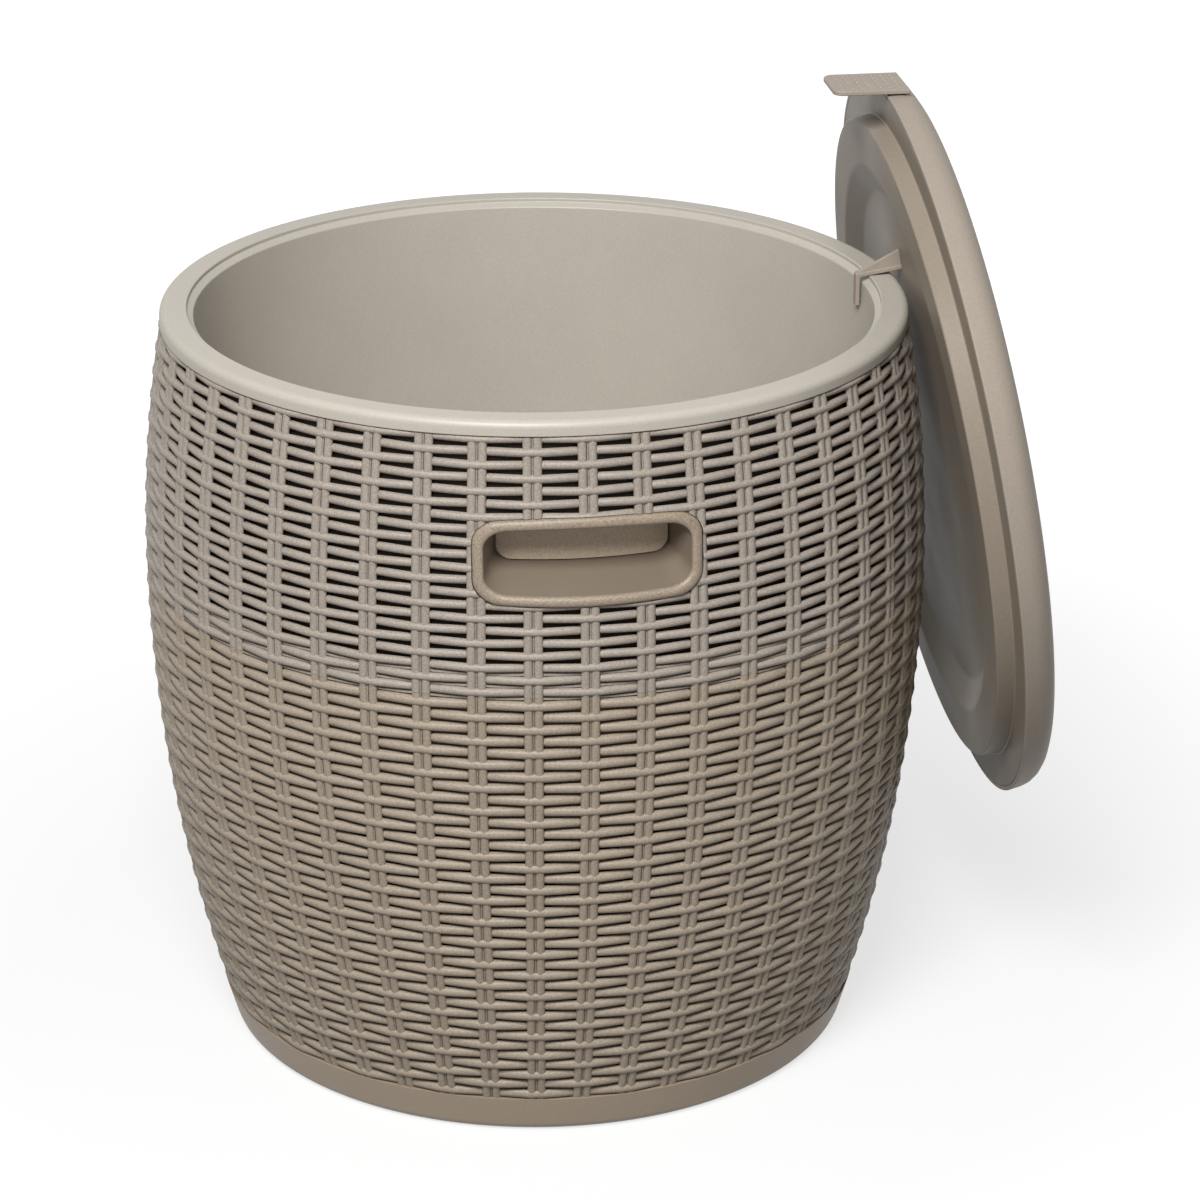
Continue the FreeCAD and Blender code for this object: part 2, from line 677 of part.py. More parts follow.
class Hang:
    """Where the lid hangs.

    In the lid's own frame Z is the way the table top faces and -X runs from the middle to the
    grip tab. The hook's leg is upright on the bucket's inner wall, and its arm rests on the rim.
    """

    def __init__(self, mm, form):
        self.mm = mm
        self.lean_sine = sine(mm.lid_lean)
        self.lean_cosine = cosine(mm.lid_lean)
        self.arm_depth = mm.dish_level + mm.hook_reach
        leg_bottom = mm.bucket_height - mm.hook_drop - mm.hook_wall
        wall = form.liner_inside(leg_bottom)
        side = mm.lid_shift + mm.hook_width / 2
        self.leg_face = root(square(wall) - square(side)) - mm.fit_gap
        crest = root(square(form.rim_inside + mm.mouth_round) - square(side))
        inwards = crest - self.leg_face
        lift = (mm.mouth_round + mm.fit_gap - inwards * self.lean_sine) / self.lean_cosine
        arm_level = mm.bucket_height - mm.mouth_round + lift
        self.x = self.leg_face + mm.hook_rise * self.lean_sine + self.arm_depth * self.lean_cosine
        self.z = arm_level - mm.hook_rise * self.lean_cosine + self.arm_depth * self.lean_sine

    def apply(self, body):
        """Hang a body that is built in the lid's frame."""
        turned = FreeCAD.Rotation(FreeCAD.Vector(0, 1, 0), 90 - self.mm.lid_lean.value)
        body.Placement = FreeCAD.Placement(FreeCAD.Vector(0, 0, 0), turned)
        body.setExpression("Placement.Rotation.Angle", "(90 - Sizes.lid_lean) * 1 deg")
        place(body, self.x, self.mm.lid_shift, self.z)


def make_lid_top(doc, mm, form, hang):
    """Table top with its skirt, the slot for the grip tab and the rib that holds the hook's foot."""
    body = new_body(doc, "lid_top")
    inside = mm.lid_height - mm.lid_wall
    turn(body, "Revolution", [
        Corner(0, mm.lid_height),
        Corner(form.lid_radius - mm.lid_draft, mm.lid_height, rounded=mm.lid_round),
        Corner(form.lid_radius, 0),
        Corner(form.lid_radius - mm.lid_wall, 0),
        Corner(form.lid_radius - mm.lid_wall, mm.lid_wall),
        Corner(form.lid_radius - mm.lid_wall - mm.pan_seat, mm.lid_wall),
        Corner(form.lid_radius - mm.lid_draft - mm.lid_wall - mm.pan_seat, inside,
               rounded=mm.lid_round - mm.lid_wall),
        Corner(0, inside),
    ])
    slot = new_sketch(body, "YZ_Plane", -(form.lid_radius - mm.lid_round - mm.pan_seat))
    half_width = mm.tongue_width / 2 + mm.fit_gap
    skirt_wall = mm.lid_wall + mm.pan_seat + mm.lid_draft
    slant = skirt_wall * hang.lean_sine / hang.lean_cosine / 2
    half_height = mm.tongue_wall / 2 + slant + mm.fit_gap * 2
    middle = mm.tab_seat - slant
    draw_outline(slot, rectangle(-half_width, half_width, middle - half_height, middle + half_height))
    pocket(body, slot)
    rib_low = mm.lid_wall - mm.dish_level + mm.hook_foot_wall
    rib = new_sketch(body, "XY_Plane", rib_low)
    draw_outline(rib, rectangle(
        -(mm.hook_rise + mm.hook_wall), -mm.hook_rise, -mm.hook_width / 2, mm.hook_width / 2))
    pad(body, rib, inside + mm.lid_wall / 2 - rib_low)
    hang.apply(body)
    return body


def make_lid_pan(doc, mm, form, hang):
    """Underside of the lid: the ring that rests on the rim, the plug and the dished panel."""
    body = new_body(doc, "lid_pan")
    edge = form.lid_radius - mm.lid_wall - mm.fit_gap
    tip = form.plug_radius - mm.plug_draft
    band = tip - mm.plug_band
    panel = band - mm.dish_slope
    tip_inside = mm.lid_wall - mm.plug_depth
    panel_inside = mm.lid_wall - mm.dish_level
    turn(body, "Revolution", [
        Corner(0, -mm.dish_level),
        Corner(panel, -mm.dish_level, rounded=mm.dish_round),
        Corner(band, -mm.plug_depth, rounded=mm.dish_round),
        Corner(tip, -mm.plug_depth, rounded=mm.plug_round),
        Corner(form.plug_radius, 0, rounded=mm.plug_round),
        Corner(edge, 0),
        Corner(edge, mm.lid_wall),
        Corner(form.plug_radius - mm.lid_wall, mm.lid_wall, rounded=mm.plug_round),
        Corner(tip - mm.lid_wall, tip_inside, rounded=mm.plug_round),
        Corner(band, tip_inside, rounded=mm.dish_round),
        Corner(panel, panel_inside, rounded=mm.dish_round),
        Corner(0, panel_inside),
    ])
    slot = new_sketch(body, "XY_Plane")
    half_width = mm.hook_width / 2 + mm.fit_gap
    draw_outline(slot, rectangle(
        -(mm.hook_rise + mm.hook_wall + mm.fit_gap), -(mm.hook_rise - mm.fit_gap),
        -half_width, half_width))
    pocket(body, slot, both_ways=True)
    hang.apply(body)
    return body


def make_lid_hook(doc, mm, form, hang):
    """Hook that hangs the lid: an arm with a rib on it, a leg, and a foot inside the lid."""
    body = new_body(doc, "lid_hook")
    arm_top = mm.hook_rise + mm.hook_wall
    foot_level = mm.lid_wall - mm.dish_level
    leg_end_rise = mm.hook_rise - mm.hook_drop * hang.lean_cosine
    leg_end_depth = hang.arm_depth + mm.hook_drop * hang.lean_sine
    inner_end_rise = leg_end_rise + mm.hook_wall * hang.lean_sine
    inner_end_depth = leg_end_depth + mm.hook_wall * hang.lean_cosine
    climb = (arm_top - inner_end_rise) / hang.lean_cosine
    side = new_sketch(body, "XZ_Plane")
    draw_outline(side, [
        Corner(-mm.hook_rise, foot_level),
        Corner(-mm.hook_rise, -hang.arm_depth),
        Corner(-leg_end_rise, -leg_end_depth),
        Corner(-inner_end_rise, -inner_end_depth),
        Corner(-arm_top, climb * hang.lean_sine - inner_end_depth, rounded=mm.hook_round),
        Corner(-arm_top, foot_level),
    ])
    pad(body, side, mm.hook_width, both_ways=True)
    rib_foot = mm.hook_rise + mm.hook_wall / 2
    rib = new_sketch(body, "XZ_Plane")
    draw_outline(rib, [
        Corner(-rib_foot, -mm.dish_level - mm.fit_gap),
        Corner(-rib_foot, -hang.arm_depth),
        Corner(-arm_top, -hang.arm_depth),
        Corner(-arm_top - mm.hook_rib_height, -mm.dish_level - mm.fit_gap),
    ])
    pad(body, rib, mm.hook_rib_wall, both_ways=True)
    foot = new_sketch(body, "XY_Plane", foot_level)
    draw_outline(foot, rectangle(
        -(arm_top + mm.hook_foot_edge), -(mm.hook_rise - mm.hook_foot_edge),
        -mm.hook_width / 2 - mm.hook_foot_edge, mm.hook_width / 2 + mm.hook_foot_edge))
    pad(body, foot, mm.hook_foot_wall)
    hang.apply(body)
    return body


def make_grip_tab(doc, mm, form, hang):
    """Level grip tab over the lid's edge, held by a tongue in the skirt's slot.

    It is built in an upright frame, whose origin is on the tab's underside, over the tongue.
    """
    body = new_body(doc, "lid_grip_tab")
    plate = new_sketch(body, "XY_Plane")
    half_width = mm.tab_width / 2
    draw_outline(plate, [
        Corner(-mm.tab_reach, -half_width, rounded=mm.tab_round),
        Corner(mm.tab_heel, -half_width),
        Corner(mm.tab_heel, half_width),
        Corner(-mm.tab_reach, half_width, rounded=mm.tab_round),
    ])
    pad(body, plate, mm.tab_wall)
    half_tongue = mm.tongue_width / 2
    tongue_length = mm.lid_wall + mm.pan_seat + mm.tongue_reach
    tongue = new_sketch(body, "XY_Plane")
    draw_outline(tongue, rectangle(
        -mm.tongue_wall / 2, mm.tongue_wall / 2, -half_tongue, half_tongue))
    pad(body, tongue, tongue_length, backwards=True)
    barb = new_sketch(body, "XY_Plane", -tongue_length)
    draw_outline(barb, rectangle(
        -mm.tongue_wall / 2, mm.tongue_wall / 2 + mm.barb_reach, -half_tongue, half_tongue))
    pad(body, barb, mm.barb_wall)
    round_level = mm.lid_height - mm.lid_round
    draft = mm.lid_draft * round_level / mm.lid_height
    round_centre = form.lid_radius - draft - mm.lid_round
    crown = round_centre * hang.lean_cosine + round_level * hang.lean_sine + mm.lid_round
    x = hang.x - form.lid_radius * hang.lean_sine + mm.tab_seat * hang.lean_cosine
    place(body, x, mm.lid_shift, hang.z + crown + mm.fit_gap)
    return body


def check(doc, pieces):
    """Stop if an object failed or a piece has no sound shape."""
    for item in doc.Objects:
        if "Invalid" in item.State or "Error" in item.State:
            raise RuntimeError(f"{item.Name} failed: {item.State}")
    for piece in pieces:
        if piece.Shape.isNull() or not piece.Shape.isValid():
            raise RuntimeError(f"{piece.Label} has no valid shape")


def main():
    os.makedirs("parts", exist_ok=True)
    doc = FreeCAD.newDocument("ice_bucket_table")
    mm = Sheet(doc)
    form = Shape(mm)
    hang = Hang(mm, form)
    pieces = [
        make_lower_shell(doc, mm, form),
        make_upper_shell(doc, mm, form),
        make_base_plate(doc, mm, form),
        make_inner_bucket(doc, mm, form),
        make_tie_screws(doc, mm),
        make_handle_cup(doc, mm, form, "handle_cup_front", 0),
        make_handle_cup(doc, mm, form, "handle_cup_back", 180),
        make_lid_top(doc, mm, form, hang),
        make_lid_pan(doc, mm, form, hang),
        make_lid_hook(doc, mm, form, hang),
        make_grip_tab(doc, mm, form, hang),
    ]
    doc.recompute()
    check(doc, pieces)
    for piece in pieces:
        piece.Shape.exportStep(f"parts/{piece.Label}.step")


main()
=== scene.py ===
import json
import math

import bmesh
import bpy
from mathutils import Matrix, Vector

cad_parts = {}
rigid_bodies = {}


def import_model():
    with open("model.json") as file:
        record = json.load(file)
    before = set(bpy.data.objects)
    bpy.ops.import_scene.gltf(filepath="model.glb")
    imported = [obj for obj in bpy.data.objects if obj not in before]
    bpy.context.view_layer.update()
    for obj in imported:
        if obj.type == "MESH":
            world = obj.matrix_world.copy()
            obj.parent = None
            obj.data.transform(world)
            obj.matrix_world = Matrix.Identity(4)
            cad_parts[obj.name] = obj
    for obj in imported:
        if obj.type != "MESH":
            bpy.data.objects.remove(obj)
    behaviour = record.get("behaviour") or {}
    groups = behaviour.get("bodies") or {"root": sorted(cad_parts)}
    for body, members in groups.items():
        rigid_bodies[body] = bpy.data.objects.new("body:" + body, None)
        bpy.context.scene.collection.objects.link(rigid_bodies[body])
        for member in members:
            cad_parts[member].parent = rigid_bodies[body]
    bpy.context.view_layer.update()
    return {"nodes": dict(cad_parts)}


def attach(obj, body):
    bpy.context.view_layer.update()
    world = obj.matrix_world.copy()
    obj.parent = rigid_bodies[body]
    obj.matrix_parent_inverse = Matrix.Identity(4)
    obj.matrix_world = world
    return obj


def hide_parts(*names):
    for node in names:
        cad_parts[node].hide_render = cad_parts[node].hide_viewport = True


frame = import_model()

# Bucket sizes, in metres

BUCKET_HEIGHT = 0.411
RIM_RADIUS = 0.200
RIM_BAND = 0.008
RIM_BOTTOM = BUCKET_HEIGHT - RIM_BAND
RIM_TOP_ROUND = 0.004
RIM_BOTTOM_ROUND = 0.0005
MOUTH_RADIUS = 0.1818
MOUTH_ROUND = 0.0012
STEP_DEPTH = 0.0022
STEP_WIDTH = 0.0035
STEP_FALL = 0.0023
STEP_EDGE_ROUND = 0.0008
STEP_CORNER_ROUND = 0.0006
FLOOR_RADIUS = 0.158
FLOOR_LEVEL = 0.078
FLOOR_ROUND = 0.022
LINER_WALL = 0.003
LINER_LEAN = 0.0004
LINER_FOOT_ROUND = 0.025
BELLY_RADIUS = 0.2126
SEAM_LEVEL = 0.2681
WALL_TOP = 0.4027
WALL_TOP_RADIUS = 0.2006
BAND_HEIGHT = 0.022
BAND_TOP_RADIUS = 0.1779
BAND_TOP_WALL = 0.0078
BAND_CURVE = 0.004
BAND_LEAN = 0.0064
BAND_FOOT_WALL = 0.0082
BAND_FOOT_HEIGHT = 0.008
BAND_FOOT_ROUND = 0.007
ROUND_STEPS = 184

# Stakes of the weave

STAKES = 46
STAKE_TURN = 2 * math.pi / STAKES
STAKE_ARC = STAKE_TURN * BELLY_RADIUS
STAKE_HALF = 0.0048
STAKE_GAP = 0.0001
UPPER_STAKE_TOP = RIM_BOTTOM - 0.0006
UPPER_STAKE_STEPS = 6
LOWER_STAKE_BOTTOM = BAND_HEIGHT - 0.0005
LOWER_STAKE_STEPS = 10
RIB_SIDES = 10
RIB_RADIUS = 0.00235
RIB_FLATNESS = 0.75
RIB_OFFSET = 0.00262
RIB_DEPTH = 0.0008
RIDGE_RADIUS = 0.0003
RIDGE_DEPTH = 0.0016

# Rods of the weave

ROD_SIDES = 8
ROD_CUTS = 4
ROD_END_ROUND = 0.7
ROD_END_SEGMENTS = 2
ROD_TUCK = 0.0008
ROD_BOW = 0.0016
ROD_CEILING = RIM_BOTTOM - 0.0005
UPPER_ROD_RADIUS = 0.0023
UPPER_ROWS = 21
UPPER_TOP_ROW = 0.4013
UPPER_PITCH = 0.00654
LOWER_ROD_RADIUS = 0.0027
LOWER_ROWS = 37
LOWER_BOTTOM_ROW = 0.0250
LOWER_PITCH = 0.006614

# Thin rings behind the weave; the linings, the seam plate and the lower backing carry painted shade

PLATE_BOTTOM = 0.2626
PLATE_TOP = 0.2845
PLATE_DEPTH = 0.0050
PLATE_STEPS = 3
LINING_DEPTH = 0.0056
LINING_WALL = 0.0009
LINING_STEPS = 8
UPPER_LINING_TOP = RIM_BOTTOM - 0.0006
UPPER_LINING_BOTTOM = PLATE_TOP - 0.0005
LOWER_LINING_TOP = 0.189
LOWER_LINING_BOTTOM = BAND_HEIGHT - 0.003
# Ring behind the lower rods near the seam, coloured dark as painted shade
PAINTED_SHADE_RING_TOP = SEAM_LEVEL - 0.0056
PAINTED_SHADE_RING_DEPTH = LINING_DEPTH - 0.0002
STRIP_ROWS = 3
STRIP_DROP = 0.0036
STRIP_DEPTH = 0.0030
STRIP_HALF = 0.0008
STRIP_WALL = 0.0012

# Finger cups

HANDLE_LEVEL = 0.3393
FRAME_WIDTH = 0.116
FRAME_HEIGHT = 0.046
FRAME_ROUND = 0.013
FRAME_PROUD = 0.0008
FRAME_ARCH = 0.0024
FRAME_STRIPS = 9
FRAME_OVERRUN = 0.0005
BEAD_WIDTH = 0.0056
BEAD_DEPTH = 0.0024
BEAD_STEPS = 10
RECESS_WIDTH = 0.088
RECESS_HEIGHT = 0.0225
RECESS_RISE = 0.00425
RECESS_ROUND = 0.0075
BACKING_FACE = 0.1853
BACKING_WALL = 0.0020
BACKING_TUCK = 0.0003
BACKING_GAP = 0.0005
CUP_GAP = 0.0004
CUTTER_OVERRUN = 0.02
CLEAR_ASIDE = 0.03
CLEAR_ABOVE = 0.01

# Lid, in its own frame: Z is the way the table top faces, and -X runs up to the grip tab

LID_MIDDLE = Vector((0.2216, 0.013, 0.31675))
LID_LEAN = math.radians(9.22)
LID_RADIUS = 0.2013
LID_HEIGHT = 0.0187
LID_ROUND = 0.013
LID_DRAFT = 0.002
LID_WALL = 0.0025
LID_INSIDE = LID_HEIGHT - LID_WALL
SKIRT_ROUND = 0.0007
SKIRT_LEDGE = 0.0015
PAN_PLAY = 0.0002
PAN_EDGE_ROUND = 0.0004
PLUG_RADIUS = 0.180
PLUG_DEPTH = 0.010
PLUG_TIP_RADIUS = 0.179
PLUG_TIP_ROUND = 0.0012
PLUG_ROOT_ROUND = 0.0009
PLUG_INNER_ROUND = 0.001
PLUG_BAND = 0.0254
DISH_SLOPE = 0.0166
DISH_LEVEL = 0.003
DISH_ROUND = 0.008
DISH_INNER_ROUND = 0.006
HOOK_RISE = 0.0991
HOOK_REACH = 0.0263
HOOK_WALL = 0.0024
HOOK_WIDTH = 0.006
HOOK_DROP = 0.016
HOOK_ROOT = 0.001
HOOK_BEND_ROUND = 0.0008
HOOK_CROWN_ROUND = 0.0014
HOOK_EDGE = 0.0005
HOOK_RIB_HEIGHT = 0.0085
HOOK_RIB_WALL = 0.0024
HOOK_RIB_SINK = 0.001
HOOK_RIB_TIP = (0.0012, 0.0003)
HOOK_RIB_SET = 0.0005
HOOK_RIB_EDGE = 0.0004
TAB_LEFT = 0.1604
TAB_RIGHT = 0.2014
TAB_WIDTH = 0.036
TAB_TOP = 0.5186
TAB_WALL = 0.0026
TAB_ROUND = 0.006
TAB_EDGE = 0.0006
DIMPLE_RADIUS = 0.0012
DIMPLE_DEPTH = 0.0009
DIMPLE_STEP = Vector((0.00507, 0.0061, 0))
DIMPLES = (7, 5)
DIMPLE_SEGMENTS = 12
DIMPLE_RINGS = 10

# Shading and small tolerances

CREASE = 38
CUP_CREASE = 45
WEAVE_CREASE = 65
WIDE_FACE_WEIGHT = 80
OUTLINE_SEGMENTS = 5
CORNER_SEGMENTS = 8
EDGE_SEGMENTS = 3
SAME_PLACE = 1e-7
TOUCHING = 1e-6


# Working steps

def take(piece):
    """Select one object alone."""
    bpy.ops.object.select_all(action="DESELECT")
    piece.select_set(True)
    bpy.context.view_layer.objects.active = piece


def open_piece(piece):
    """Go into edit mode on one object."""
    take(piece)
    bpy.ops.object.mode_set(mode="EDIT")


def close_piece():
    """Leave edit mode."""
    bpy.ops.object.mode_set(mode="OBJECT")


def pick(kind, test):
    """Select the vertices, edges or faces of the open piece that pass a test on their place."""
    bpy.ops.mesh.select_mode(type=kind)
    mesh = bpy.context.edit_object.data
    shape = bmesh.from_edit_mesh(mesh)
    for item in (*shape.verts, *shape.edges, *shape.faces):
        item.select = False
    for item in {"VERT": shape.verts, "EDGE": shape.edges, "FACE": shape.faces}[kind]:
        if test(item):
            item.select_set(True)
    shape.select_flush_mode()
    bmesh.update_edit_mesh(mesh)


def lies(edge, test):
    """Whether both ends of an edge pass a test on their place."""
    return all(test(vert.co) for vert in edge.verts)


def split_off(piece):
    """Split what is selected off the open piece."""
    bpy.ops.mesh.separate(type="SELECTED")
    close_piece()
    return [item for item in bpy.context.selected_objects if item is not piece][0]


def named(name):
    """Name the new object, and put its place into its mesh."""
    piece = bpy.context.active_object
    piece.name = name
    piece.data.name = name
    bpy.ops.object.transform_apply(location=True, rotation=True, scale=True)
    return piece


def block(name, low, high):
    """Add a block between two corners."""
    low, high = Vector(low), Vector(high)
    bpy.ops.object.select_all(action="DESELECT")
    bpy.ops.mesh.primitive_cube_add(size=1, location=(low + high) / 2, scale=high - low)
    return named(name)


def copy_of(piece, name):
    """Copy a piece, with a mesh of its own."""
    twin = piece.copy()
    twin.data = piece.data.copy()
    twin.name = name
    twin.data.name = name
    bpy.context.collection.objects.link(twin)
    return twin


def joined(name, pieces):
    """Join pieces into one."""
    take(pieces[0])
    for piece in pieces:
        piece.select_set(True)
    bpy.ops.object.join()
    return named(name)


def apply_modifier(piece, kind, **settings):
    """Add a modifier, set it and apply it."""
    take(piece)
    modifier = piece.modifiers.new(kind.title(), kind)
    for setting, value in settings.items():
        setattr(modifier, setting, value)
    bpy.ops.object.modifier_apply(modifier=modifier.name)


def repeat(piece, count, step):
    """Repeat a piece in a straight row."""
    apply_modifier(piece, "ARRAY", count=count, use_relative_offset=False,
                   use_constant_offset=True, constant_offset_displace=step)


def cut_away(piece, tool):
    """Cut one solid out of a piece."""
    apply_modifier(piece, "BOOLEAN", object=tool, operation="DIFFERENCE", solver="EXACT", use_self=True)


def rounded_edges(piece, offset):
    """Round all sharp edges of a piece."""
    apply_modifier(piece, "BEVEL", width=offset, segments=EDGE_SEGMENTS, limit_method="ANGLE")


def discard(*pieces):
    """Delete working pieces."""
    for piece in pieces:
        bpy.data.objects.remove(piece, do_unlink=True)


def draw_outline(corners, closed=True):
    """Draw an outline of (x, z) or (x, z, round) corners from one vertex, in the XZ plane."""
    places = [Vector((corner[0], 0, corner[1])) for corner in corners]
    bpy.ops.object.select_all(action="DESELECT")
    bpy.ops.mesh.primitive_plane_add(size=0.01)
    bpy.ops.object.mode_set(mode="EDIT")
    bpy.ops.mesh.select_mode(type="VERT")
    bpy.ops.mesh.merge(type="CENTER")
    bpy.ops.transform.translate(value=places[0])
    for here, there in zip(places, places[1:]):
        bpy.ops.mesh.extrude_region_move(TRANSFORM_OT_translate={"value": there - here})
    if closed:
        pick("VERT", lambda vert: min((vert.co - places[0]).length,
                                      (vert.co - places[-1]).length) < SAME_PLACE)
        bpy.ops.mesh.edge_face_add()
    for number, corner in enumerate(corners):
        if len(corner) < 3:
            continue
        here = places[number]
        back = (places[number - 1] - here).normalized()
        ahead = (places[(number + 1) % len(places)] - here).normalized()
        run = corner[2] / math.tan(back.angle(ahead) / 2)
        pick("VERT", lambda vert: (vert.co - here).length < SAME_PLACE)
        bpy.ops.mesh.bevel(offset=run, segments=OUTLINE_SEGMENTS, affect="VERTICES")
    bpy.ops.mesh.select_all(action="SELECT")


def turned(name, corners, closed=True):
    """Turn an outline about the Z axis into a ring or a bowl."""
    draw_outline(corners, closed)
    bpy.ops.mesh.spin(steps=ROUND_STEPS, angle=2 * math.pi, center=(0, 0, 0), axis=(0, 0, 1))
    bpy.ops.mesh.select_all(action="SELECT")
    bpy.ops.mesh.remove_doubles(threshold=TOUCHING)
    bpy.ops.mesh.normals_make_consistent(inside=False)
    close_piece()
    return named(name)


def sawn(name, corners, width, middle):
    """Fill an outline and pull it out along Y into a plate of that width."""
    draw_outline(corners)
    bpy.ops.mesh.edge_face_add()
    bpy.ops.mesh.extrude_region_move(TRANSFORM_OT_translate={"value": (0, width, 0)})
    bpy.ops.mesh.select_all(action="SELECT")
    bpy.ops.transform.translate(value=(0, middle - width / 2, 0))
    bpy.ops.mesh.normals_make_consistent(inside=False)
    close_piece()
    return named(name)


def even_shading(piece):
    """Keep wide faces flat next to small rounds."""
    take(piece)
    bpy.ops.object.shade_smooth_by_angle(angle=math.radians(CREASE))
    apply_modifier(piece, "WEIGHTED_NORMAL", keep_sharp=True, weight=WIDE_FACE_WEIGHT)


def dress(piece, body, slot, material, *nodes, crease=CREASE):
    """Shade a finished piece, give it its material and put it on its body."""
    take(piece)
    bpy.ops.object.shade_smooth_by_angle(angle=math.radians(crease))
    piece.data.materials.clear()
    piece.data.materials.append(material)
    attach(piece, body)
    if nodes:
        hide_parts(*nodes)


# Finishes

NOISE_MIDDLE = (0.3, 0.7)
PIT_SCALE = 1100
PIT_DETAIL = 2
PIT_HEIGHT = 0.0002
SPECKLE_RANGE = (0.3, 1.7)
DRIFT_SCALE = 14
DRIFT_DETAIL = 3
TONE_RANGE = (0.97, 1.03)
ROUGHNESS_RANGE = (0.40, 0.50)


def new_group(name, inputs, outputs):
    """Start a node group with named inputs and outputs."""
    group = bpy.data.node_groups.new(name, "ShaderNodeTree")
    for label, kind, value in inputs:
        socket = group.interface.new_socket(label, in_out="INPUT", socket_type=kind)
        if value is not None:
            socket.default_value = value
    for label, kind in outputs:
        group.interface.new_socket(label, in_out="OUTPUT", socket_type=kind)
    return group, group.nodes.new("NodeGroupInput"), group.nodes.new("NodeGroupOutput")


def noise(group, vector, scale, detail):
    """Add a noise texture on a vector socket."""
    node = group.nodes.new("ShaderNodeTexNoise")
    node.inputs["Scale"].default_value = scale
    node.inputs["Detail"].default_value = detail
    group.links.new(vector, node.inputs["Vector"])
    return node.outputs["Fac"]


def remap(tree, value, given, wanted):
    """Spread the values between two ends over the range between two others."""
    node = tree.nodes.new("ShaderNodeMapRange")
    node.inputs["From Min"].default_value, node.inputs["From Max"].default_value = given
    node.inputs["To Min"].default_value, node.inputs["To Max"].default_value = wanted
    tree.links.new(value, node.inputs["Value"])
    return node.outputs["Result"]


def make_grain():
    """Fine pitted grain of moulded plastic, with slow changes of tone and of sheen."""
    group, given, wanted = new_group(
        "moulded_grain",
        (("Place", "NodeSocketVector", None), ("Colour", "NodeSocketColor", None),
         ("Pit Depth", "NodeSocketFloat", 0.3), ("Speckle", "NodeSocketFloat", 0.1)),
        (("Colour", "NodeSocketColor"), ("Roughness", "NodeSocketFloat"), ("Normal", "NodeSocketVector")))
    pits = noise(group, given.outputs["Place"], PIT_SCALE, PIT_DETAIL)
    drift = noise(group, given.outputs["Place"], DRIFT_SCALE, DRIFT_DETAIL)
    speckle = group.nodes.new("ShaderNodeMix")
    speckle.data_type = "FLOAT"
    speckle.inputs["A"].default_value = 1
    group.links.new(given.outputs["Speckle"], speckle.inputs["Factor"])
    group.links.new(remap(group, pits, NOISE_MIDDLE, SPECKLE_RANGE), speckle.inputs["B"])
    tone = group.nodes.new("ShaderNodeMath")
    tone.operation = "MULTIPLY"
    group.links.new(speckle.outputs["Result"], tone.inputs[0])
    group.links.new(remap(group, drift, NOISE_MIDDLE, TONE_RANGE), tone.inputs[1])
    tint = group.nodes.new("ShaderNodeVectorMath")
    tint.operation = "SCALE"
    group.links.new(given.outputs["Colour"], tint.inputs["Vector"])
    group.links.new(tone.outputs["Value"], tint.inputs["Scale"])
    group.links.new(tint.outputs["Vector"], wanted.inputs["Colour"])
    group.links.new(remap(group, drift, NOISE_MIDDLE, ROUGHNESS_RANGE), wanted.inputs["Roughness"])
    bump = group.nodes.new("ShaderNodeBump")
    bump.inputs["Distance"].default_value = PIT_HEIGHT
    group.links.new(given.outputs["Pit Depth"], bump.inputs["Strength"])
    group.links.new(pits, bump.inputs["Height"])
    group.links.new(bump.outputs["Normal"], wanted.inputs["Normal"])
    return group


grain = make_grain()


def moulded(name, colour, pit_depth=0.6, speckle=0.30, gloss=0.5, metallic=0):
    """A moulded plastic, or plain steel where it is metallic."""
    material = bpy.data.materials.new(name)
    material.use_nodes = True
    tree = material.node_tree
    shader = tree.nodes["Principled BSDF"]
    shader.inputs["Specular IOR Level"].default_value = gloss
    shader.inputs["Metallic"].default_value = metallic
    place = tree.nodes.new("ShaderNodeTexCoord")
    surface = tree.nodes.new("ShaderNodeGroup")
    surface.node_tree = grain
    surface.inputs["Colour"].default_value = (*colour, 1)
    surface.inputs["Pit Depth"].default_value = pit_depth
    surface.inputs["Speckle"].default_value = speckle
    tree.links.new(place.outputs["Object"], surface.inputs["Place"])
    tree.links.new(surface.outputs["Colour"], shader.inputs["Base Color"])
    tree.links.new(surface.outputs["Roughness"], shader.inputs["Roughness"])
    tree.links.new(surface.outputs["Normal"], shader.inputs["Normal"])
    return material


GREIGE = Vector((0.36, 0.285, 0.21))
upper_weave = moulded("upper_weave_plastic", (0.315, 0.274, 0.233), gloss=0.25)
lower_weave = moulded("lower_weave_plastic", (0.31, 0.258, 0.20), gloss=0.25)
# The linings behind the slits are painted near black: painted shade of the unlit hollow behind the weave.
upper_painted_shade = moulded("upper_shell_painted_shade", GREIGE * 0.06, gloss=0.1)
lower_painted_shade = moulded("lower_shell_painted_shade", GREIGE * 0.06, gloss=0.1)
# Body plastic at half brightness: a real plate behind the rods, darkened as painted shade of the deep slits.
backing_painted_shade = moulded("lower_shell_backing_painted_shade", GREIGE * 0.5, gloss=0.1)
band_plastic = moulded("base_band_plastic", GREIGE * 0.95, pit_depth=0.2, speckle=0.06)
bucket_plastic = moulded("inner_bucket_plastic", (0.44, 0.405, 0.35), pit_depth=0.3, speckle=0.08)
frame_plastic = moulded("finger_cup_frame_plastic", GREIGE * 0.75, pit_depth=0.8, speckle=0.40)
# Recess at half the body plastic: painted shade inside the finger cup.
recess_painted_shade = moulded("finger_cup_recess_painted_shade", GREIGE * 0.50, pit_depth=0.1, speckle=0.04)
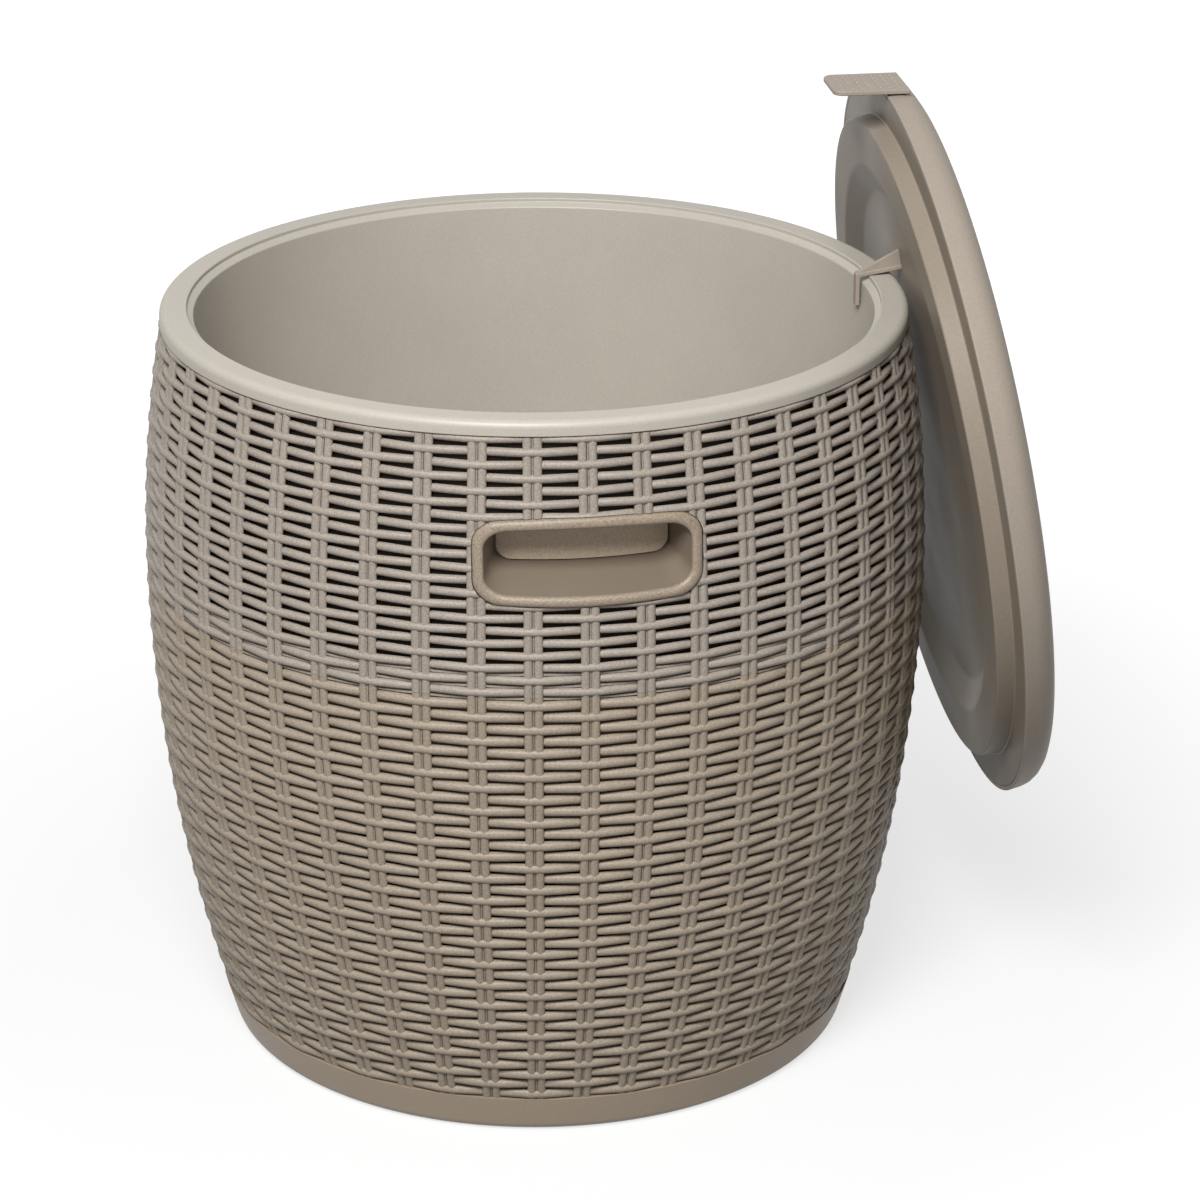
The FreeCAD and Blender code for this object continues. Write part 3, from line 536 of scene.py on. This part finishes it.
# Back wall of the recess made lighter than the body plastic: painted light inside the finger cup.
cup_backing_painted_light = moulded("finger_cup_backing_painted_light", GREIGE * 1.35, speckle=0.25)
lid_plastic = moulded("lid_plastic", (0.325, 0.280, 0.232), pit_depth=0.3, speckle=0.10, gloss=0.15)
# Darker copy of the lid plastic: painted shade on the lid's underside.
pan_painted_shade = moulded("lid_underside_painted_shade", (0.255, 0.215, 0.170),
                      pit_depth=0.3, speckle=0.10, gloss=0.15)
steel = moulded("screw_steel", (0.6, 0.6, 0.6), pit_depth=0.1, speckle=0.03, metallic=1)


# Woven wall

def arc_radius(rise, swell):
    """Radius of an upright arc that swells by so much over its rise."""
    return (rise ** 2 + swell ** 2) / (2 * swell)


UPPER_BEND = arc_radius(WALL_TOP - SEAM_LEVEL, BELLY_RADIUS - WALL_TOP_RADIUS)
LOWER_BEND = arc_radius(SEAM_LEVEL - BAND_HEIGHT, BELLY_RADIUS - BAND_TOP_RADIUS)


def wall_radius(level):
    """Radius of the weave's crest at a level."""
    bend = UPPER_BEND if level > SEAM_LEVEL else LOWER_BEND
    return BELLY_RADIUS - bend + math.sqrt(bend ** 2 - (level - SEAM_LEVEL) ** 2)


def at_wall(turn, radius, level):
    """A place by its turn from the front, towards +X."""
    return Vector((radius * math.sin(turn), -radius * math.cos(turn), level))


def model_rod(radius):
    """One rod of the weave, lying flat along X with its crest at Y = 0 and its ends bent in."""
    reach = STAKE_ARC - STAKE_HALF + ROD_TUCK
    bpy.ops.object.select_all(action="DESELECT")
    bpy.ops.mesh.primitive_cylinder_add(vertices=ROD_SIDES, radius=radius, depth=2 * reach,
                                        location=(0, radius, 0), rotation=(0, math.pi / 2, 0))
    rod = named("rod")
    open_piece(rod)
    pick("EDGE", lambda edge: lies(edge, lambda place: place.x > reach - TOUCHING)
         or lies(edge, lambda place: place.x < TOUCHING - reach))
    bpy.ops.mesh.bevel(offset=radius * ROD_END_ROUND, segments=ROD_END_SEGMENTS, affect="EDGES")
    pick("EDGE", lambda edge: edge.calc_length() > reach)
    bpy.ops.mesh.subdivide(number_cuts=ROD_CUTS)
    close_piece()
    for vert in rod.data.vertices:
        vert.co.y += ROD_BOW * (1 - math.cos(math.pi * vert.co.x / reach)) / 2
    return rod


def model_rib(radius, offset, depth, low, high, steps):
    """One upright rib of a stake, lying flat at X = offset."""
    bpy.ops.object.select_all(action="DESELECT")
    bpy.ops.mesh.primitive_cylinder_add(
        vertices=RIB_SIDES, radius=radius, depth=high - low, scale=(1, RIB_FLATNESS, 1),
        location=(offset, depth + radius * RIB_FLATNESS, (low + high) / 2))
    rib = named("rib")
    open_piece(rib)
    pick("EDGE", lambda edge: edge.calc_length() > radius * 2)
    bpy.ops.mesh.subdivide(number_cuts=steps - 1)
    close_piece()
    return rib


def lay_rods(flat_row, name, level, first, ceiling):
    """Lay a copy of the flat row of rods round the wall."""
    row = copy_of(flat_row, name)
    radius = wall_radius(level)
    for vert in row.data.vertices:
        turn = first * STAKE_TURN + vert.co.x / BELLY_RADIUS
        vert.co = at_wall(turn, radius - vert.co.y, min(level + vert.co.z, ceiling))
    return row


def make_rods(name, radius, levels, first, ceiling=math.inf):
    """All rods of one shell. Neighbouring rows pass over neighbouring stakes."""
    rod = model_rod(radius)
    repeat(rod, STAKES // 2, (2 * STAKE_ARC, 0, 0))
    rows = [lay_rods(rod, f"{name}_row", level, (first + number) % 2, ceiling)
            for number, level in enumerate(levels)]
    discard(rod)
    return joined(name, rows)


def make_stakes(name, low, high, steps):
    """All stakes of one shell: two round ribs with a fine ridge between them."""
    stake = joined(name, [
        model_rib(RIB_RADIUS, RIB_OFFSET, RIB_DEPTH, low, high, steps),
        model_rib(RIB_RADIUS, -RIB_OFFSET, RIB_DEPTH, low, high, steps),
        model_rib(RIDGE_RADIUS, 0, RIDGE_DEPTH, low, high, steps)])
    repeat(stake, STAKES, (STAKE_ARC, 0, 0))
    for vert in stake.data.vertices:
        number = round(vert.co.x / STAKE_ARC)
        radius = wall_radius(vert.co.z)
        turn = number * STAKE_TURN + (vert.co.x - number * STAKE_ARC) / radius
        vert.co = at_wall(turn, radius - vert.co.y, vert.co.z)
    return stake


def wall_line(low, high, depth, steps):
    """Corners along the wall's curve, from low to high, at a depth behind the crest."""
    levels = [low + (high - low) * step / steps for step in range(steps + 1)]
    return [(wall_radius(level) - depth, level) for level in levels]


def make_lining(name, low, high, depth):
    """Thin ring behind the weave, coloured as painted shade seen through the slits."""
    outside = wall_line(low, high, depth, LINING_STEPS)
    inside = wall_line(low, high, depth + LINING_WALL, LINING_STEPS)
    return turned(name, outside + inside[::-1])


def make_strip(rod_level):
    """Thin strip that fills the slit under a row of rods."""
    level = rod_level - STRIP_DROP
    face = wall_radius(level) - STRIP_DEPTH
    return turned("seam_strip", [
        (face - STRIP_WALL, level - STRIP_HALF), (face - STRIP_WALL, level + STRIP_HALF),
        (face, level + STRIP_HALF / 2), (face, level - STRIP_HALF / 2)])


def rounded_block(name, size, corner, front, back, level):
    """Block with its four corners rounded, as seen from the front."""
    width, height = size
    piece = block(name, (-width / 2, front, level - height / 2), (width / 2, back, level + height / 2))
    open_piece(piece)
    pick("EDGE", lambda edge: abs(edge.verts[0].co.y - edge.verts[1].co.y) > 0.9 * (back - front))
    bpy.ops.mesh.bevel(offset=corner, segments=CORNER_SEGMENTS, affect="EDGES")
    close_piece()
    return piece


def cut_into_strips(piece):
    """Cut a piece into upright strips, so that it can follow a curve."""
    open_piece(piece)
    for number in range(-FRAME_STRIPS, FRAME_STRIPS + 1):
        bpy.ops.mesh.select_all(action="SELECT")
        across = number * FRAME_WIDTH / (2 * FRAME_STRIPS + 1)
        bpy.ops.mesh.bisect(plane_co=(across, 0, 0), plane_no=(1, 0, 0))
    close_piece()


def arch(piece):
    """Draw the top and bottom edges of a finger cup together towards its ends."""
    for vert in piece.data.vertices:
        rise = 2 * (vert.co.z - HANDLE_LEVEL) / FRAME_HEIGHT
        vert.co.z -= FRAME_ARCH * rise * (2 * vert.co.x / FRAME_WIDTH) ** 2


def handle_cutter(gap):
    """Rounded block through both sides that clears the wall for the finger cups."""
    reach = BELLY_RADIUS + CUTTER_OVERRUN
    size = (FRAME_WIDTH + 2 * gap, FRAME_HEIGHT + 2 * gap)
    cutter = rounded_block("cutter", size, FRAME_ROUND + gap, -reach, reach, HANDLE_LEVEL)
    cut_into_strips(cutter)
    arch(cutter)
    return cutter


def clear_handles(piece, cutter):
    """Cut a piece of the wall away at the finger cups."""
    near = FRAME_WIDTH / 2 + CLEAR_ASIDE
    tall = FRAME_HEIGHT / 2 + CLEAR_ABOVE
    open_piece(piece)
    pick("VERT", lambda vert: abs(vert.co.x) < near and abs(vert.co.z - HANDLE_LEVEL) < tall)
    bpy.ops.mesh.select_linked()
    part = split_off(piece)
    cut_away(part, cutter)
    return joined(piece.name, [piece, part])


cutter = handle_cutter(CUP_GAP)
upper_levels = [UPPER_TOP_ROW - UPPER_PITCH * row for row in range(UPPER_ROWS)]
lower_levels = [LOWER_BOTTOM_ROW + LOWER_PITCH * row for row in range(LOWER_ROWS)]

upper_rods = make_rods("upper_wall_rods", UPPER_ROD_RADIUS, upper_levels, 0, ROD_CEILING)
upper_rods = clear_handles(upper_rods, cutter)
dress(upper_rods, "bucket", "woven_wall", upper_weave, "upper_shell", crease=WEAVE_CREASE)
upper_stakes = make_stakes("upper_wall_stakes", SEAM_LEVEL + STAKE_GAP, UPPER_STAKE_TOP, UPPER_STAKE_STEPS)
upper_stakes = clear_handles(upper_stakes, cutter)
dress(upper_stakes, "bucket", "woven_wall", upper_weave, crease=WEAVE_CREASE)
# Dark ring behind the upper rods: painted shade seen through the slits.
upper_inside = make_lining("upper_wall_lining", UPPER_LINING_BOTTOM, UPPER_LINING_TOP, LINING_DEPTH)
cut_away(upper_inside, cutter)
dress(upper_inside, "bucket", "woven_wall", upper_painted_shade)
# Plate behind the seam rows: real body plastic, and its darkening is painted shade.
seam_plate = turned("upper_wall_seam_plate", [
    *wall_line(PLATE_BOTTOM, PLATE_TOP, PLATE_DEPTH, PLATE_STEPS),
    *wall_line(PLATE_BOTTOM, PLATE_TOP, LINING_DEPTH + LINING_WALL, PLATE_STEPS)[::-1]])
dress(seam_plate, "bucket", "woven_wall", backing_painted_shade)
seam_strips = joined("upper_wall_seam_strips", [make_strip(level) for level in upper_levels[-STRIP_ROWS:]])
dress(seam_strips, "bucket", "woven_wall", upper_weave)

lower_rods = make_rods("lower_wall_rods", LOWER_ROD_RADIUS, lower_levels, 1)
dress(lower_rods, "bucket", "woven_wall", lower_weave, "lower_shell", crease=WEAVE_CREASE)
lower_stakes = make_stakes("lower_wall_stakes", LOWER_STAKE_BOTTOM, SEAM_LEVEL - STAKE_GAP, LOWER_STAKE_STEPS)
dress(lower_stakes, "bucket", "woven_wall", lower_weave, crease=WEAVE_CREASE)
# Dark ring behind the lower rods: painted shade seen through the slits.
lower_inside = make_lining("lower_wall_lining", LOWER_LINING_BOTTOM, LOWER_LINING_TOP, LINING_DEPTH)
dress(lower_inside, "bucket", "woven_wall", lower_painted_shade)
# Ring behind the lower rods near the seam: painted shade in dark brown.
lower_backing = make_lining("lower_wall_backing", LOWER_LINING_TOP, PAINTED_SHADE_RING_TOP, PAINTED_SHADE_RING_DEPTH)
dress(lower_backing, "bucket", "woven_wall", backing_painted_shade)

foot_edge = BAND_TOP_RADIUS - BAND_LEAN
base_band = turned("base_band", [
    (foot_edge - BAND_FOOT_WALL, 0),
    (foot_edge, 0, BAND_FOOT_ROUND),
    *wall_line(BAND_HEIGHT - BAND_CURVE, BAND_HEIGHT, 0, 2),
    (BAND_TOP_RADIUS - BAND_TOP_WALL, BAND_HEIGHT),
    (foot_edge - BAND_FOOT_WALL, BAND_FOOT_HEIGHT)])
even_shading(base_band)
dress(base_band, "bucket", "woven_wall", band_plastic)


# Inner bucket and rim

inner_bucket = turned("inner_bucket_shell", [
    (0, FLOOR_LEVEL - LINER_WALL),
    (FLOOR_RADIUS + LINER_WALL, FLOOR_LEVEL - LINER_WALL, LINER_FOOT_ROUND),
    (MOUTH_RADIUS + LINER_WALL - LINER_LEAN, RIM_BOTTOM),
    (MOUTH_RADIUS + STEP_WIDTH + LINER_WALL, BUCKET_HEIGHT - LINER_WALL),
    (RIM_RADIUS - LINER_WALL, BUCKET_HEIGHT - LINER_WALL),
    (RIM_RADIUS - LINER_WALL, RIM_BOTTOM),
    (RIM_RADIUS, RIM_BOTTOM, RIM_BOTTOM_ROUND),
    (RIM_RADIUS, BUCKET_HEIGHT, RIM_TOP_ROUND),
    (MOUTH_RADIUS + STEP_WIDTH, BUCKET_HEIGHT, STEP_EDGE_ROUND),
    (MOUTH_RADIUS + STEP_WIDTH, BUCKET_HEIGHT - STEP_DEPTH, STEP_CORNER_ROUND),
    (MOUTH_RADIUS, BUCKET_HEIGHT - STEP_DEPTH - STEP_FALL, MOUTH_ROUND),
    (FLOOR_RADIUS, FLOOR_LEVEL, FLOOR_ROUND),
    (0, FLOOR_LEVEL)], closed=False)
even_shading(inner_bucket)
dress(inner_bucket, "bucket", "smooth_wall", bucket_plastic, "inner_bucket")


# Finger cups

def follow_wall(piece):
    """Curve a piece of the finger cup: its front with the wall, its back with the inner bucket."""
    front = -BELLY_RADIUS - FRAME_PROUD
    for vert in piece.data.vertices:
        place = vert.co
        radius = wall_radius(place.z) + FRAME_PROUD
        share = min(1, max(0, (-BACKING_FACE - place.y) / (-BACKING_FACE - front)))
        at_front = -front - math.sqrt(radius ** 2 - place.x ** 2)
        at_back = BACKING_FACE - math.sqrt(BACKING_FACE ** 2 - place.x ** 2)
        place.y += share * at_front + (1 - share) * at_back
    arch(piece)


def make_cup():
    """Finger cup at the front: a frame with a rounded section, and a recess with a rising floor."""
    front = -BELLY_RADIUS - FRAME_PROUD
    back = BACKING_WALL - BACKING_FACE
    frame_edge = front + BEAD_DEPTH
    cup = rounded_block("cup_frame", (FRAME_WIDTH, FRAME_HEIGHT), FRAME_ROUND, frame_edge,
                        back + FRAME_OVERRUN, HANDLE_LEVEL)
    loops = [(FRAME_WIDTH, FRAME_HEIGHT, frame_edge, 0)]
    for step in range(1, BEAD_STEPS + 1):
        turn = math.pi * step / BEAD_STEPS
        inset = BEAD_WIDTH * (1 - math.cos(turn))
        loops.append((FRAME_WIDTH - inset, FRAME_HEIGHT - inset, frame_edge - BEAD_DEPTH * math.sin(turn), 0))
    loops.append((RECESS_WIDTH, RECESS_HEIGHT, back, RECESS_RISE))
    open_piece(cup)
    pick("FACE", lambda face: face.calc_center_median().y < frame_edge + TOUCHING)
    for (width, height, depth, _), (new_width, new_height, new_depth, rise) in zip(loops, loops[1:]):
        bpy.ops.mesh.extrude_region_move()
        bpy.ops.transform.resize(
            value=(new_width / width, 1, new_height / height), center_override=(0, 0, HANDLE_LEVEL))
        bpy.ops.transform.translate(value=(0, new_depth - depth, rise))
    bpy.ops.mesh.select_more()
    recess = split_off(cup)
    for piece in (cup, recess):
        cut_into_strips(piece)
        follow_wall(piece)
    return cup, recess


def make_backing():
    """Curved back wall of the recess, with a narrow gap round it."""
    size = (RECESS_WIDTH - 2 * BACKING_GAP, RECESS_HEIGHT - 2 * BACKING_GAP)
    backing = rounded_block("cup_backing", size, RECESS_ROUND, -BACKING_FACE,
                            BACKING_WALL + BACKING_TUCK - BACKING_FACE, HANDLE_LEVEL + RECESS_RISE)
    cut_into_strips(backing)
    follow_wall(backing)
    return backing


cup_frame, cup_recess = make_cup()
cup_backing = make_backing()
for side, turn in (("front", 0), ("back", math.pi)):
    for piece, material in ((cup_frame, frame_plastic), (cup_recess, recess_painted_shade),
                            (cup_backing, cup_backing_painted_light)):
        twin = copy_of(piece, side + "_" + piece.name)
        twin.data.transform(Matrix.Rotation(turn, 4, "Z"))
        nodes = ["handle_cup_" + side] if piece is cup_frame else []
        dress(twin, "bucket", "smooth_wall", material, *nodes, crease=CUP_CREASE)
discard(cup_frame, cup_recess, cup_backing, cutter)


# Lid

LID_PLACE = Matrix.Translation(LID_MIDDLE) @ Matrix.Rotation(math.pi / 2 - LID_LEAN, 4, "Y")


def hang(piece):
    """Move a piece from the lid's own frame to where it hangs."""
    piece.data.transform(LID_PLACE)
    return piece


def lid_point(rise, depth):
    """A place (x, z) on the lid's upright middle plane, by its rise and its depth towards the bucket."""
    place = LID_PLACE @ Vector((-rise, 0, -depth))
    return place.x, place.z


lid_top = hang(turned("lid_table_top", [
    (0, LID_HEIGHT),
    (LID_RADIUS - LID_DRAFT, LID_HEIGHT, LID_ROUND),
    (LID_RADIUS, 0, SKIRT_ROUND),
    (LID_RADIUS - LID_WALL, 0, SKIRT_ROUND),
    (LID_RADIUS - LID_WALL, LID_WALL),
    (LID_RADIUS - LID_WALL - SKIRT_LEDGE, LID_WALL),
    (LID_RADIUS - LID_WALL - SKIRT_LEDGE - LID_DRAFT, LID_INSIDE, LID_ROUND - LID_WALL),
    (0, LID_INSIDE)], closed=False))
even_shading(lid_top)
dress(lid_top, "lid", "lid_plastic", lid_plastic, "lid_top")

pan_edge = LID_RADIUS - LID_WALL - PAN_PLAY
dish_edge = PLUG_TIP_RADIUS - PLUG_BAND
dish_floor = dish_edge - DISH_SLOPE
lid_pan = hang(turned("lid_underside", [
    (0, -DISH_LEVEL),
    (dish_floor, -DISH_LEVEL, DISH_ROUND),
    (dish_edge, -PLUG_DEPTH, DISH_ROUND),
    (PLUG_TIP_RADIUS, -PLUG_DEPTH, PLUG_TIP_ROUND),
    (PLUG_RADIUS, 0, PLUG_ROOT_ROUND),
    (pan_edge, 0, PAN_EDGE_ROUND),
    (pan_edge, LID_WALL),
    (PLUG_RADIUS - LID_WALL, LID_WALL, PLUG_INNER_ROUND),
    (PLUG_TIP_RADIUS - LID_WALL, LID_WALL - PLUG_DEPTH, PLUG_INNER_ROUND),
    (dish_edge, LID_WALL - PLUG_DEPTH, DISH_INNER_ROUND),
    (dish_floor, LID_WALL - DISH_LEVEL, DISH_INNER_ROUND),
    (0, LID_WALL - DISH_LEVEL)], closed=False))
even_shading(lid_pan)
dress(lid_pan, "lid", "lid_plastic", pan_painted_shade, "lid_pan")


def make_hook():
    """Hook that hangs the lid on the rim: an arm with a rib on it, and a leg inside the mouth."""
    arm_top = HOOK_RISE + HOOK_WALL
    corner_x, corner_z = lid_point(HOOK_RISE, HOOK_REACH)
    leg_low = corner_z - HOOK_DROP
    leg_outer = corner_x - HOOK_WALL
    crown_x, crown_z = lid_point(arm_top, HOOK_REACH)
    crown_z -= math.tan(LID_LEAN) * (crown_x - leg_outer)
    hook = sawn("hook", [
        lid_point(HOOK_RISE, HOOK_ROOT),
        (corner_x, corner_z, HOOK_BEND_ROUND),
        (corner_x, leg_low),
        (leg_outer, leg_low),
        (leg_outer, crown_z, HOOK_CROWN_ROUND),
        lid_point(arm_top, HOOK_ROOT)], HOOK_WIDTH, LID_MIDDLE.y)
    rounded_edges(hook, HOOK_EDGE)
    tip_along, tip_above = HOOK_RIB_TIP
    rib = sawn("hook_rib", [
        lid_point(arm_top - HOOK_RIB_SINK, HOOK_ROOT),
        (leg_outer + HOOK_RIB_SINK, crown_z - HOOK_RIB_SINK),
        (leg_outer + tip_along, crown_z + tip_above),
        lid_point(arm_top + HOOK_RIB_HEIGHT, DISH_LEVEL - HOOK_RIB_SET),
        lid_point(arm_top + HOOK_RIB_HEIGHT, HOOK_ROOT)], HOOK_RIB_WALL, LID_MIDDLE.y)
    rounded_edges(rib, HOOK_RIB_EDGE)
    return joined("lid_hanging_hook", [hook, rib])


def make_tab():
    """Grip tab over the lid's edge, with rows of dimples."""
    middle = LID_MIDDLE.y
    tab = block("lid_grip_plate", (TAB_LEFT, middle - TAB_WIDTH / 2, TAB_TOP - TAB_WALL),
                (TAB_RIGHT, middle + TAB_WIDTH / 2, TAB_TOP))
    open_piece(tab)
    pick("EDGE", lambda edge: lies(edge, lambda place: place.x < TAB_LEFT + TOUCHING)
         and abs(edge.verts[0].co.z - edge.verts[1].co.z) > TAB_WALL / 2)
    bpy.ops.mesh.bevel(offset=TAB_ROUND, segments=CORNER_SEGMENTS, affect="EDGES")
    close_piece()
    rounded_edges(tab, TAB_EDGE)
    first = Vector(((TAB_LEFT + TAB_RIGHT) / 2, middle, TAB_TOP)) - Vector(
        (DIMPLE_STEP.x * (DIMPLES[0] - 1) / 2, DIMPLE_STEP.y * (DIMPLES[1] - 1) / 2, 0))
    ball = (DIMPLE_RADIUS ** 2 + DIMPLE_DEPTH ** 2) / (2 * DIMPLE_DEPTH)
    bpy.ops.object.select_all(action="DESELECT")
    bpy.ops.mesh.primitive_uv_sphere_add(segments=DIMPLE_SEGMENTS, ring_count=DIMPLE_RINGS, radius=ball,
                                         location=first + Vector((0, 0, ball - DIMPLE_DEPTH)))
    dimples = named("dimples")
    repeat(dimples, DIMPLES[0], (DIMPLE_STEP.x, 0, 0))
    repeat(dimples, DIMPLES[1], (0, DIMPLE_STEP.y, 0))
    cut_away(tab, dimples)
    discard(dimples)
    return tab


lid_hook = make_hook()
even_shading(lid_hook)
dress(lid_hook, "lid", "lid_plastic", lid_plastic, "lid_hook")

lid_tab = make_tab()
even_shading(lid_tab)
dress(lid_tab, "lid", "lid_plastic", lid_plastic, "lid_grip_tab")


# Base plate and screws, kept from the CAD model

for node, material in (("base_plate", bucket_plastic), ("tie_screws", steel)):
    for slot in frame["nodes"][node].material_slots:
        slot.material = material


# Floor, light and camera

WHITE = (1, 1, 1, 1)
FLOOR_SIZE = 30
FLOOR_COLOUR = (0.25, 0.25, 0.25, 1)
FLOOR_ROUGHNESS = 0.9
SHADOW_REACH = (0.3, 1.2)
FLOOR_GLOW = (0.72, 1.0)
AIR_LIGHT = (0.22, 1.0)
KEY_PLACE = (-0.6, -1.75, 2.2)
KEY_AIM = (0, 0, 0.25)
KEY_SIZE = 1.0
KEY_POWER = 88
CAMERA_PLACE = (-0.2762, -2.1263, 1.1014)
CAMERA_TILT = math.radians(90 - 21.98)
CAMERA_TURN = math.radians(-8.34)
CAMERA_LENS = 126
SENSOR_WIDTH = 36


def seen_directly(tree):
    """1 for what is seen, straight or in a reflection, and 0 for the light that reaches the object."""
    rays = tree.nodes.new("ShaderNodeLightPath")
    seen = rays.outputs["Is Camera Ray"]
    for other in ("Is Glossy Ray", "Is Transmission Ray"):
        either = tree.nodes.new("ShaderNodeMath")
        either.operation = "MAXIMUM"
        tree.links.new(seen, either.inputs[0])
        tree.links.new(rays.outputs[other], either.inputs[1])
        seen = either.outputs["Value"]
    return seen


def make_floor_finish():
    """Matt pale floor, whiter away from the object, so that only the shadow shows on it."""
    material = bpy.data.materials.new("studio_floor_white")
    material.use_nodes = True
    tree = material.node_tree
    shader = tree.nodes["Principled BSDF"]
    shader.inputs["Base Color"].default_value = FLOOR_COLOUR
    shader.inputs["Roughness"].default_value = FLOOR_ROUGHNESS
    shader.inputs["Specular IOR Level"].default_value = 0
    shader.inputs["Emission Color"].default_value = WHITE
    place = tree.nodes.new("ShaderNodeTexCoord")
    distance = tree.nodes.new("ShaderNodeVectorMath")
    distance.operation = "LENGTH"
    tree.links.new(place.outputs["Object"], distance.inputs[0])
    glow = tree.nodes.new("ShaderNodeMath")
    glow.operation = "MULTIPLY"
    tree.links.new(remap(tree, distance.outputs["Value"], SHADOW_REACH, FLOOR_GLOW), glow.inputs[0])
    tree.links.new(seen_directly(tree), glow.inputs[1])
    tree.links.new(glow.outputs["Value"], shader.inputs["Emission Strength"])
    return material


def make_air():
    """Plain white surroundings that give only a soft light."""
    world = bpy.data.worlds.new("studio_air")
    world.use_nodes = True
    tree = world.node_tree
    air = tree.nodes["Background"]
    air.inputs["Color"].default_value = WHITE
    tree.links.new(remap(tree, seen_directly(tree), (0, 1), AIR_LIGHT), air.inputs["Strength"])
    return world


def make_key_light():
    """One square soft box, up on the left."""
    bpy.ops.object.light_add(type="AREA", location=KEY_PLACE)
    lamp = bpy.context.active_object
    lamp.name = "key_light"
    lamp.data.size = KEY_SIZE
    lamp.data.energy = KEY_POWER
    lamp.rotation_euler = (Vector(KEY_AIM) - Vector(KEY_PLACE)).to_track_quat("-Z", "Y").to_euler()


def make_camera():
    """Camera at the photograph's viewing angle."""
    camera = bpy.data.cameras.new("studio_camera")
    camera.lens = CAMERA_LENS
    camera.sensor_width = SENSOR_WIDTH
    holder = bpy.data.objects.new("studio_camera", camera)
    holder.location = CAMERA_PLACE
    holder.rotation_euler = (CAMERA_TILT, 0, CAMERA_TURN)
    bpy.context.collection.objects.link(holder)
    return holder


bpy.ops.object.select_all(action="DESELECT")
bpy.ops.mesh.primitive_plane_add(size=FLOOR_SIZE)
floor = named("studio_floor")
floor.data.materials.append(make_floor_finish())

bpy.context.scene.world = make_air()
make_key_light()
bpy.context.scene.camera = make_camera()
bpy.context.scene.view_settings.view_transform = "Standard"
